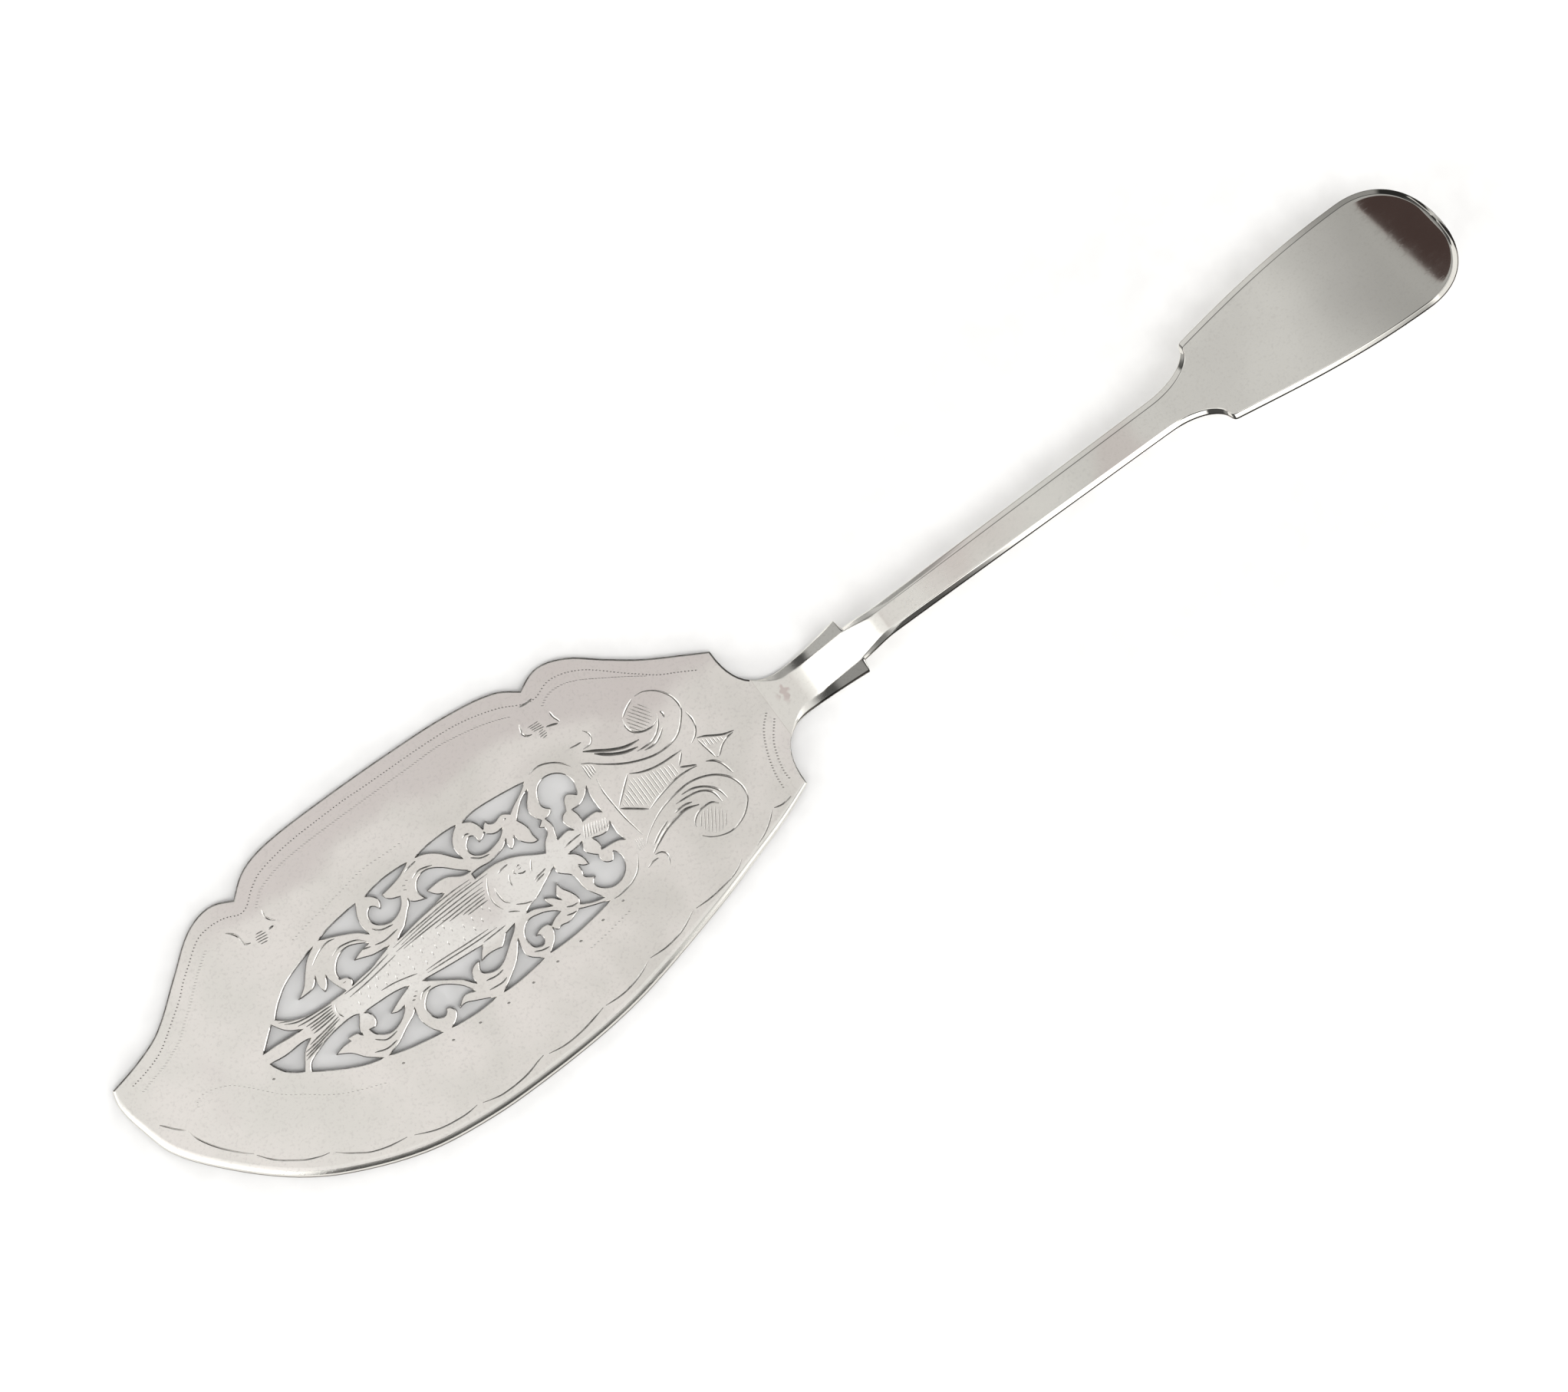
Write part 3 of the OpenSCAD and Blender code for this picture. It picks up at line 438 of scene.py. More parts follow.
TAIL_LINES = (
    ((-106.5, 6.4), (-104.5, 5.4), (-102, 4.9), (-99.5, 4.7), (-97, 4.5)),
    ((-107.2, 7.3), (-105, 6.2), (-102.5, 5.5), (-100, 5.15), (-97.6, 4.9)),
    ((-104.6, 4.6), (-102.5, 4.3), (-100, 4.15), (-97.2, 4.05)),
    ((-103.4, 3.6), (-101, 3.5), (-99, 3.55), (-97.4, 3.6)),
    ((-103, 2.95), (-100.5, 2.95), (-97.6, 3.1)),
    ((-103, 2.4), (-100.5, 2.45), (-97.6, 2.65)),
    ((-103, 1.75), (-100.5, 1.85), (-97.6, 2.15)),
    ((-104.8, 0.4), (-102.5, 0.75), (-100, 1.1), (-97.4, 1.55)),
    ((-106.2, -0.25), (-103.5, 0.05), (-101, 0.45), (-97.4, 1.1)),
    ((-106.6, -0.9), (-104, -0.5), (-101.5, -0.05), (-99, 0.35)),
    ((-107, -1.5), (-105, -1.1), (-102.6, -0.6)),
    ((-96.6, 3.8), (-97, 3), (-97.05, 2.2), (-96.6, 0.9)),
    ((-112.4, 4.3), (-110, 4.2), (-107.5, 3.9), (-104.8, 3.7)))
SCROLL_LINES = (
    ((-91.7, 11.5), (-90.4, 11.95), (-89, 12), (-86.5, 11.3), (-84.9, 9.9)),
    ((-82.7, 11.2), (-81.4, 10), (-79, 9.5)),
    ((-84, 8.4), (-82, 7.95), (-78.8, 8.3)),
    ((-87, 9.4), (-86, 9), (-84.8, 8.6)),
    ((-71, 14.4), (-69, 14.9), (-66.5, 14.2)),
    ((-71.5, 16.2), (-70.2, 16.5), (-68.6, 16.7)),
    ((-95.8, 12.3), (-93.2, 13.7), (-91, 14.2), (-89.5, 13.9)),
    ((-94.3, -6), (-92.5, -7.4), (-90, -7.2)),
    ((-95.8, -8), (-93.5, -8.8), (-91, -8.6)),
    ((-83, -5.2), (-82, -4.3), (-80, -4.1)),
    ((-71, -9.6), (-69, -10), (-67.2, -9.8)),
    ((-71.5, -11.4), (-69, -11.7), (-67.5, -11.4)),
    ((-58.9, 14.9), (-58, 15.1), (-57.3, 14.8)),
    ((-59.8, 11), (-58.3, 9.8), (-56.5, 9.4)),
    ((-60.5, -10.6), (-59, -11.3), (-57.6, -11.5)),
    ((-99.6, 9.9), (-98.6, 11.1), (-97.5, 12.3)),
    ((-73.3, 14.4), (-72.8, 14.1)), ((-73.6, 13.6), (-73.1, 13.3)), ((-72.3, 14.9), (-71.9, 14.6)),
    ((-84.4, -4.3), (-83.8, -4.5)), ((-83.8, -3.8), (-83.2, -4.1)), ((-83.1, -3.2), (-82.6, -3.4)),
    ((-50.6, -7.4), (-49.6, -7.9), (-48.4, -8)),
    ((-51.5, -8.7), (-50.4, -9.1), (-49.3, -9.2)),
    ((-50.6, 13), (-50, 13.1)), ((-46.7, -5.4), (-46, -5.4)), ((-93, 6.1), (-92.4, 6.1)))
SCALES = (
    (-91.5, 2.7), (-87.2, 3.1), (-85.2, 2.6), (-84, 3.9), (-82.4, 2.7), (-80.2, 2.5), (-78.4, 4.2),
    (-77.6, 2.2), (-75.9, 4.2), (-73.1, 2.9), (-70.6, 2.1), (-68.4, 1.3), (-66.3, 1.4), (-64.9, 0.1),
    (-82.7, 1), (-84.3, 1), (-80.6, 0.5), (-78, -0.1), (-72.6, 0.4), (-86.5, 1.2), (-90.5, 1.1),
    (-92.7, 1.2), (-89.5, 2.6), (-74.9, 1.3), (-69.7, -0.7), (-70.9, 4.6), (-63.6, 2), (-88.3, 1.9),
    (-71.6, 3.4), (-67, -0.4), (-76.1, 0.6), (-62.6, 0.9))
PITS = (
    (-52.2, -14.2), (-46.5, -13.5), (-41.3, -12.8), (-64, -15.2), (-70, -15.5), (-76.5, -15.3),
    (-82.5, -14.9), (-58, -14.7), (-92.6, -12.8), (-114, -0.7))


def blade_engraving():
    cuts = pricked(*BORDER_PRICKS, *BORDER)
    for line in INNER_BORDERS:
        cuts += pricked(*INNER_PRICKS, *line)
    for line in HEEL_BORDERS:
        cuts += pricked(*HEEL_PRICKS, *line)
    for line in FAINT_BORDERS:
        cuts += pricked(*FAINT_PRICKS, *line)
    cuts += strokes(LINE, *FESTOONS)
    cuts += strokes(BOLD, *BRACKETS)
    cuts += strokes(BOLD, *UPPER_VOLUTE) + strokes(BOLD, *LOWER_VOLUTE)
    cuts += strokes(LEAF, *LEAVES)
    cuts += strokes(LINE, *CURLS)
    cuts += strokes(BOLD, *LOZENGE) + strokes(BOLD, *KITE)
    cuts += strokes(FINE, *BACK_LINES, *BELLY_LINES)
    cuts += strokes(LINE, *TAIL_LINES, *HEAD_LINES, *SCROLL_LINES)
    cuts += [stroke(LINE, (x + 0.05, y + 0.4), (x, y), (x - 0.05, y - 0.4)) for x, y in SCALES]
    cuts += [stroke(BOLD, (x - 0.3, y + 0.1), (x, y), (x + 0.3, y - 0.1)) for x, y in PITS]
    cuts += disc_hatching(SLIM, 8, (-18.3, 13.5), 2.6, -56)
    cuts += disc_hatching(HATCH, 8, (-18.4, -10.6), 2.7, 56)
    cuts += disc_hatching(HATCH, 5, (-100.4, 22.3), 1.3, -8)
    cuts += disc_hatching(HATCH, 4, (-34.9, 21.9), 0.9, 0)
    cuts += hatching(HATCH, 4, ((-36.6, 24.5), (-34.3, 24.4)), ((-36, 23.3), (-33.9, 22.9)))
    cuts += hatching(HATCH, 6, ((-30.5, 1.4), (-30.5, 2.2)), ((-26.8, -1.2), (-26.8, 5.2)))
    cuts += hatching(HATCH, 11, ((-26.1, -1.2), (-26.1, 5)), ((-18.6, 0.3), (-18.6, 2.7)))
    cuts += hatching(HATCH, 6, ((-11.2, 1.2), (-11.1, 3.1)), ((-8, 0.3), (-8, 1.4)))
    cuts += hatching(FINE, 9, ((-40.1, 0.9), (-38.9, 3.3)), ((-35.4, 0.2), (-34.8, 2)))
    cuts += hatching(FINE, 4, ((-32.6, 9.4), (-32.5, 12.6)), ((-31.1, 9.9), (-31, 11.7)))
    cuts += hatching(FAINT, 4, ((-33, -7.2), (-32.6, -4.6)), ((-31.8, -7), (-31.4, -5.2)))
    return cuts


# The handle: widths, places along it from the heel corners, heights, thicknesses and facets

HEEL_W, NECK_W, SPUR_W, ROOT_W, STEM_W = 31.4, 9.8, 12.1, 7.5, 6.4
STEM_END_W, SHOULDER_W, FIDDLE_W, END_FLAT_W = 7.5, 18.2, 26.7, 2.4
NECK_FLAT_W, STEM_FLAT_W, END_FACE_HALF = 6.4, 4, 0.6
FLARE_L, NECK_L, SHOULDER_X, HANDLE_L, END_L = 9, 22, 105.3, 158.6, 12.6
STEM_END_X, LIFT_START, WIDEST_X = SHOULDER_X - 11.3, SHOULDER_X + 6.7, HANDLE_L - END_L
SCARF_X, SCARF_L, SCARF_NIB, SOLDER_T = 3, 8, 0.4, 0.12
SCARF_END = SCARF_X + SCARF_L
CRANK_START, UNDER_START, CRANK_END, FACE_LEAD = SCARF_END - 1.5, SCARF_END + 1, NECK_L + 8, 1.5
STEM_H, END_LIFT, STEM_T, STEM_END_T, FIDDLE_T = 12.3, 4, 3.8, 3, 2
FACET_W, SPUR_FACET_W, UNDER_FACET_W, NECK_WAIST = 1.2, 0.3, 0.8, 0.62
ROOT_FACET_D, FACET_D, FACET_RUN, END_FACET_D = 0.84, 0.72, 36, 0.6
FLARE_POWER, SPUR_POWER, LIFT_POWER, END_POWER = 2.5, 1.6, 2.5, 2.3
END_SLANT, END_DRIFT = 0.11, 0.8


def end_curve(x, inset):
    """Half width of the fiddle's rounded end, or of a line inside it."""
    u = min(1, (x - WIDEST_X) / (END_L - inset))
    return (FIDDLE_W / 2 - inset) * (1 - u ** END_POWER) ** (1 / END_POWER)


def half_width(x):
    if x < FLARE_L:
        fall = (1 - (1 - max(x, 0) / FLARE_L) ** FLARE_POWER) ** (1 / FLARE_POWER)
        return mix(HEEL_W, NECK_W, fall) / 2
    if x <= NECK_L:
        return mix(NECK_W, SPUR_W, ((x - FLARE_L) / (NECK_L - FLARE_L)) ** SPUR_POWER) / 2
    if x < CRANK_END:
        return shift(x, NECK_L, CRANK_END, ROOT_W, STEM_W) / 2
    if x < STEM_END_X:
        return mix(STEM_W, STEM_END_W, (x - CRANK_END) / (STEM_END_X - CRANK_END)) / 2
    if x < SHOULDER_X:
        u = (x - STEM_END_X) / (SHOULDER_X - STEM_END_X)
        return mix(STEM_END_W, SHOULDER_W, 1 - math.sqrt(max(0, 1 - u * u))) / 2
    if x < WIDEST_X:
        u = (x - SHOULDER_X) / (WIDEST_X - SHOULDER_X)
        return mix(SHOULDER_W, FIDDLE_W, math.sin(math.pi / 2 * u)) / 2
    return max(END_FLAT_W / 2, end_curve(x, 0))


def top_half(x):
    """Half width of the flat upper face."""
    if x < FLARE_L:
        return half_width(x) - shift(x, SCARF_X, FLARE_L, 0, (NECK_W - NECK_FLAT_W) / 2)
    if x < CRANK_END:
        return shift(x, NECK_L - FACE_LEAD, CRANK_END - FACE_LEAD, NECK_FLAT_W, STEM_FLAT_W) / 2
    if x < WIDEST_X:
        return half_width(x) - FACET_W
    return max(END_FACE_HALF, end_curve(x, FACET_W))


def under_half(x):
    if x <= NECK_L:
        return half_width(x) - shift(x, SCARF_END, NECK_L, 0, SPUR_FACET_W)
    return max(END_FACE_HALF, half_width(x) - shift(x, NECK_L, CRANK_END, SPUR_FACET_W, UNDER_FACET_W))


def face_height(x):
    """Height of the upper face, before the facet round the end."""
    lift = END_LIFT * max(0, (x - LIFT_START) / (HANDLE_L - LIFT_START)) ** LIFT_POWER
    return shift(x, CRANK_START, CRANK_END, SHEET_T, STEM_H) + lift


def top_height(x):
    return face_height(x) - END_FACET_D * max(0, 1 - (HANDLE_L - x) / FACET_W)


def under_height(x):
    if x < CRANK_END:
        return shift(x, UNDER_START, CRANK_END, 0, STEM_H - STEM_T)
    if x < SHOULDER_X:
        return face_height(x) - mix(STEM_T, STEM_END_T, (x - CRANK_END) / (SHOULDER_X - CRANK_END))
    return face_height(x) - shift(x, SHOULDER_X, WIDEST_X, STEM_END_T, FIDDLE_T)


def waist_height(x):
    """Height of the widest line, where the upper and lower facets meet."""
    if x <= NECK_L:
        return mix(under_height(x), face_height(x), NECK_WAIST)
    return face_height(x) - shift(x, CRANK_END, CRANK_END + FACET_RUN, ROOT_FACET_D, FACET_D)


# How far the points beside a corner stand off, in millimetres, and the most of a face that they take
CORNER_REACH, CORNER_SHARE = 0.35, 0.3
# Where the widest line lies in a section, on the side of the blade's smooth edge
SMOOTH_SIDE_WAIST = 13


def section(x, squeeze=0.0):
    """Eighteen points round the handle: its six corners, each with a point close by on either side."""
    top, side, under = top_half(x), half_width(x), under_half(x)
    z_top, z_side, z_under = top_height(x) - squeeze, waist_height(x), under_height(x) + squeeze
    corners = [Vector((top, z_top)), Vector((side, z_side)), Vector((under, z_under)),
               Vector((-under, z_under)), Vector((-side, z_side)), Vector((-top, z_top))]
    skew = ease((x - SHOULDER_X) / (HANDLE_L - SHOULDER_X))
    out = []
    for i, corner in enumerate(corners):
        for other in (corners[i - 1], corners[(i + 1) % 6]):
            way = other - corner
            share = min(CORNER_SHARE, CORNER_REACH / max(way.length, 0.01))
            out.append(corner + way * share)
            if other is corners[i - 1]:
                out.append(corner)
    return [Vector((x - END_SLANT * skew * p.x, p.x - END_DRIFT * skew, p.y)) * MM for p in out]


def handle_stations():
    """Places along the handle with a section, closest where its outline turns fastest."""
    stations = [SCARF_X - 0.8] + span(SCARF_X - 0.2, FLARE_L, 10) + span(FLARE_L, NECK_L - 0.6, 12)
    stations += [NECK_L + off for off in (-0.6, -0.2, 0, 0.36, 0.6, 1)]
    stations += span(NECK_L + 1.6, CRANK_END, 7) + span(CRANK_END, STEM_END_X, 9)
    flare = SHOULDER_X - STEM_END_X
    stations += [STEM_END_X + flare * math.sin(u) for u in span(0, math.pi / 2, 14)]
    stations += [SHOULDER_X - 0.1, SHOULDER_X + 0.25] + span(SHOULDER_X + 1.2, WIDEST_X, 16)
    stations += [WIDEST_X + END_L * math.sin(u) for u in span(0, math.pi / 2, 20)]
    return sorted(stations)


def handle_mesh():
    """Sections bridged into one closed skin, with the widest line of one side marked."""
    rings = [section(x) for x in handle_stations()] + [section(HANDLE_L, 0.1)]
    bm = bmesh.new()
    widest = bm.verts.layers.float.new("widest_line")
    loops = []
    for points in rings:
        ring = bmesh.ops.create_circle(bm, segments=len(points), radius=MM)["verts"]
        for v, p in zip(ring, points):
            v.co = p
        ring[SMOOTH_SIDE_WAIST][widest] = 1.0
        loops.append(ring)
    for a, b in zip(loops, loops[1:]):
        edges = [e for ring in (a, b) for e in {e for v in ring for e in v.link_edges}
                 if e.verts[0] in ring and e.verts[1] in ring]
        bmesh.ops.bridge_loops(bm, edges=edges)
    for ring in (loops[0], loops[-1]):
        bmesh.ops.contextual_create(bm, geom=ring)
    bmesh.ops.recalc_face_normals(bm, faces=bm.faces)
    mesh = bpy.data.meshes.new("fiddle_handle")
    bm.to_mesh(mesh)
    bm.free()
    return mesh


def tongue_cutter():
    """A prism that takes away what lies in front of and below the sloping joint."""
    bm = bmesh.new()
    ring = bmesh.ops.create_circle(bm, cap_ends=True, segments=6, radius=MM)["verts"]
    start, end = SCARF_X + SOLDER_T, SCARF_END + SOLDER_T
    start_z, end_z = SHEET_T - SCARF_NIB + SOLDER_T, SCARF_NIB + SOLDER_T
    profile = ((1, -1), (end, -1), (end, end_z), (start, start_z), (start, 3), (1, 3))
    for v, (x, z) in zip(ring, profile):
        v.co = Vector((x, -20, z)) * MM
    sweep = bmesh.ops.extrude_face_region(bm, geom=bm.faces[:])
    moved = [v for v in sweep["geom"] if isinstance(v, bmesh.types.BMVert)]
    bmesh.ops.translate(bm, verts=moved, vec=Vector((0, 40 * MM, 0)))
    bmesh.ops.recalc_face_normals(bm, faces=bm.faces)
    mesh = bpy.data.meshes.new("tongue_cutter")
    bm.to_mesh(mesh)
    bm.free()
    return mesh


# Materials

def add(tree, kind, sockets=(), **settings):
    """A node with its settings, and its sockets as values or as what feeds them."""
    made = tree.nodes.new("ShaderNode" + kind)
    for key, value in settings.items():
        setattr(made, key, value)
    for key, value in dict(sockets).items():
        if isinstance(value, bpy.types.NodeSocket):
            tree.links.new(value, made.inputs[key])
        else:
            made.inputs[key].default_value = value
    return made.outputs


def math_of(tree, operation, *values):
    """What a math node makes of its values, each a number or what feeds it."""
    return add(tree, "Math", dict(enumerate(values)), operation=operation)[0]


def ramp(tree, value, low, high, to_low=0.0, to_high=1.0):
    """A smooth change as a value goes from low to high."""
    sockets = {"Value": value, "From Min": low, "From Max": high, "To Min": to_low, "To Max": to_high}
    return add(tree, "MapRange", sockets, interpolation_type="SMOOTHSTEP")["Result"]


def fade(tree, place, start, end, to_start=0.0, to_end=1.0):
    """A smooth change between two places along a coordinate, given in millimetres."""
    return ramp(tree, place, start * MM, end * MM, to_start, to_end)


def blend(tree, amount, first, second):
    return add(tree, "Mix", {0: amount, 6: first, 7: second}, data_type="RGBA")[2]


def noise(tree, vector, scale, detail=2.0):
    sockets = {"Vector": vector, "Scale": scale, "Detail": detail}
    return add(tree, "TexNoise", sockets)["Fac"]


def group(name, inputs, outputs):
    """A new node group's tree, what it is given and what it puts out."""
    tree = bpy.data.node_groups.new(name, "ShaderNodeTree")
    for key, kind in inputs:
        tree.interface.new_socket(key, in_out="INPUT", socket_type=kind)
    for key, kind in outputs:
        tree.interface.new_socket(key, in_out="OUTPUT", socket_type=kind)
    return tree, tree.nodes.new("NodeGroupInput").outputs, tree.nodes.new("NodeGroupOutput").inputs


FLOAT, VECTOR = "NodeSocketFloat", "NodeSocketVector"
# The middle of the stain on the tongue, and the middle and half sizes of the painted sheen on the fish
TONGUE_STAIN = Vector((7.5, 1, 1.4)) * MM
FISH_MIDDLE, FISH_REACH = Vector((-69, 1.2, 1.4)) * MM, Vector((31, 5.8, 1000)) * MM


def silver_wear_group():
    """Hairline scratches in three directions, cloudy blotches, and small specks."""
    tree, given, out = group(
        "silver_wear", [("Vector", VECTOR)],
        [("Scratches", FLOAT), ("Clouds", FLOAT), ("Specks", FLOAT)])
    found = []
    for turn, across, low in ((0.5, 2600.0, 0.64), (-0.9, 3100.0, 0.66), (1.9, 2300.0, 0.66)):
        lie = add(tree, "Mapping", {"Vector": given["Vector"], "Rotation": (0.0, 0.0, turn),
                                    "Scale": (0.035, 1.0, 1.0)})["Vector"]
        found.append(ramp(tree, noise(tree, lie, across, 1.0), low, low + 0.08))
    both = math_of(tree, "MAXIMUM", found[0], found[1])
    tree.links.new(math_of(tree, "MAXIMUM", both, found[2]), out["Scratches"])
    tree.links.new(noise(tree, given["Vector"], 70.0, 5.0), out["Clouds"])
    specks = noise(tree, given["Vector"], 1900.0, 2.0)
    tree.links.new(ramp(tree, specks, 0.5, 0.75), out["Specks"])
    return tree


def firestain_group():
    """The pinkish bloom along the scalloped edge, with a wavy lower limit, and smudges."""
    tree, given, out = group("firestain", [("Vector", VECTOR)], [("Amount", FLOAT)])
    place = add(tree, "SeparateXYZ", {0: given["Vector"]})
    wave = math_of(tree, "MULTIPLY", noise(tree, given["Vector"], 55.0, 3.0), 16 * MM)
    height = math_of(tree, "ADD", place["Y"], wave)
    height = math_of(tree, "ADD", height, fade(tree, place["X"], -45, -12, 0.0, 13 * MM))
    band = math_of(tree, "MULTIPLY", fade(tree, height, 32, 37.5), fade(tree, place["X"], -118, -98))
    smudges = ramp(tree, noise(tree, given["Vector"], 38.0, 2.0), 0.58, 0.72, 0.0, 0.6)
    off = add(tree, "VectorMath", {0: given["Vector"], 1: TONGUE_STAIN}, operation="DISTANCE")["Value"]
    spots = ramp(tree, noise(tree, given["Vector"], 480.0, 2.0), 0.5, 0.62)
    tongue = math_of(tree, "MULTIPLY", fade(tree, off, 1.2, 3, 1.0, 0.0), spots)
    smudges = math_of(tree, "MAXIMUM", smudges, tongue)
    tree.links.new(math_of(tree, "MAXIMUM", band, smudges), out["Amount"])
    return tree


def fish_sheen_group():
    """A brighter patch, the shape of the fish's body: painted sheen for the brighter light that the
    fish's body reflects.
    """
    tree, given, out = group("fish_sheen", [("Vector", VECTOR)], [("Amount", FLOAT)])
    lie = add(tree, "VectorMath", {0: given["Vector"], 1: FISH_MIDDLE}, operation="SUBTRACT")["Vector"]
    lie = add(tree, "VectorMath", {0: lie, 1: FISH_REACH}, operation="DIVIDE")["Vector"]
    off = add(tree, "VectorMath", {0: lie}, operation="LENGTH")["Value"]
    tree.links.new(ramp(tree, off, 0.8, 1.15, 1.0, 0.0), out["Amount"])
    return tree


WEAR = silver_wear_group()
STAIN = firestain_group()
FISH_SHEEN = fish_sheen_group()


def used(tree, shared, vector):
    """A shared group placed in a material's tree."""
    made = tree.nodes.new("ShaderNodeGroup")
    made.node_tree = shared
    tree.links.new(vector, made.inputs["Vector"])
    return made.outputs


def new_material(name):
    """A material, its tree, its shader's sockets and the place on the piece."""
    material = bpy.data.materials.new(name)
    material.use_nodes = True
    tree = material.node_tree
    place = add(tree, "TexCoord")["Object"]
    return material, tree, tree.nodes["Principled BSDF"].inputs, place


def bumped(tree, height, strength):
    return add(tree, "Bump", {"Height": height, "Strength": strength, "Distance": 0.00003})["Normal"]


def satin_silver():
    """The blade's worn face: cloudy, stained along one edge, and with painted sheen on the fish."""
    material, tree, shader, place = new_material("satin_silver")
    wear = used(tree, WEAR, place)
    stain = used(tree, STAIN, place)["Amount"]
    cloud = ramp(tree, wear["Clouds"], 0.3, 0.7)
    tone_and_sheen = blend(tree, cloud, (0.845, 0.825, 0.77, 1), (0.95, 0.91, 0.86, 1))
    # Painted sheen: paler over the fish's body, for the brighter light that its surface reflects.
    tone_and_sheen = blend(tree, used(tree, FISH_SHEEN, place)["Amount"], tone_and_sheen, (1.0, 0.98, 0.93, 1))
    tinted = blend(tree, stain, tone_and_sheen, (0.80, 0.75, 0.715, 1))
    marked = blend(tree, math_of(tree, "MULTIPLY", wear["Specks"], 0.25), tinted, (0.55, 0.52, 0.49, 1))
    tree.links.new(marked, shader["Base Color"])
    rough = ramp(tree, wear["Clouds"], 0.25, 0.75, 0.31, 0.40)
    tree.links.new(rough, shader["Roughness"])
    tree.links.new(bumped(tree, wear["Scratches"], 0.12), shader["Normal"])
    shader["Metallic"].default_value = 1.0
    return material


def filed_silver():
    """The bevel: filed, then burnished, with painted shade along its thin edge."""
    material, tree, shader, place = new_material("filed_silver")
    wear = used(tree, WEAR, place)
    cloud = ramp(tree, wear["Clouds"], 0.3, 0.7)
    bright = blend(tree, cloud, (0.70, 0.68, 0.635, 1), (0.82, 0.80, 0.745, 1))
    height = add(tree, "SeparateXYZ", {0: place})["Z"]
    # Painted shade: near black below 0.72 mm, where the steep edge mirrors the floor in the blade's
    # shadow.
    edge = fade(tree, height, 0.6, 0.72, 0.85, 0.0)
    tree.links.new(blend(tree, edge, bright, (0.10, 0.09, 0.08, 1)), shader["Base Color"])
    tree.links.new(ramp(tree, wear["Clouds"], 0.3, 0.7, 0.12, 0.2), shader["Roughness"])
    tree.links.new(bumped(tree, wear["Scratches"], 0.1), shader["Normal"])
    shader["Metallic"].default_value = 1.0
    return material


def sawn_silver_painted_shade():
    """Sawn walls, painted nearly black as painted shade for the shadowed hollows they mirror."""
    material, tree, shader, place = new_material("sawn_silver_painted_shade")
    files = add(tree, "Mapping", {"Vector": place, "Scale": (1.0, 1.0, 0.15)})["Vector"]
    marks = noise(tree, files, 4200.0, 2.0)
    # Painted shade: the walls' colour is nearly black, standing in for the shadowed hollows that they
    # mirror.
    colour = blend(tree, ramp(tree, marks, 0.3, 0.7), (0.06, 0.05, 0.045, 1), (0.14, 0.125, 0.11, 1))
    tree.links.new(colour, shader["Base Color"])
    tree.links.new(ramp(tree, marks, 0.3, 0.7, 0.2, 0.32), shader["Roughness"])
    tree.links.new(bumped(tree, marks, 0.15), shader["Normal"])
    shader["Metallic"].default_value = 1.0
    return material


def cut_silver(name, low, high, dirtiest):
    """Bright cuts, darkened between two heights: in the engraved cuts by the old polish and tarnish that
    sit in them, and on the rims by painted shade for the dark outline where they mirror the floor in the
    blade's shadow.
    """
    material, tree, shader, place = new_material(name)
    dirt_and_shade_patches = ramp(tree, noise(tree, place, 900.0, 3.0), 0.35, 0.7)
    height = add(tree, "SeparateXYZ", {0: place})["Z"]
    deep = fade(tree, height, low, high, dirtiest, 0.0)
    amount = math_of(tree, "MULTIPLY", deep, ramp(tree, dirt_and_shade_patches, 0.0, 1.0, 0.45, 1.0))
    colour = blend(tree, amount, (0.78, 0.76, 0.72, 1), (0.14, 0.12, 0.105, 1))
    tree.links.new(colour, shader["Base Color"])
    tree.links.new(ramp(tree, dirt_and_shade_patches, 0.0, 1.0, 0.14, 0.26), shader["Roughness"])
    shader["Metallic"].default_value = 1.0
    return material


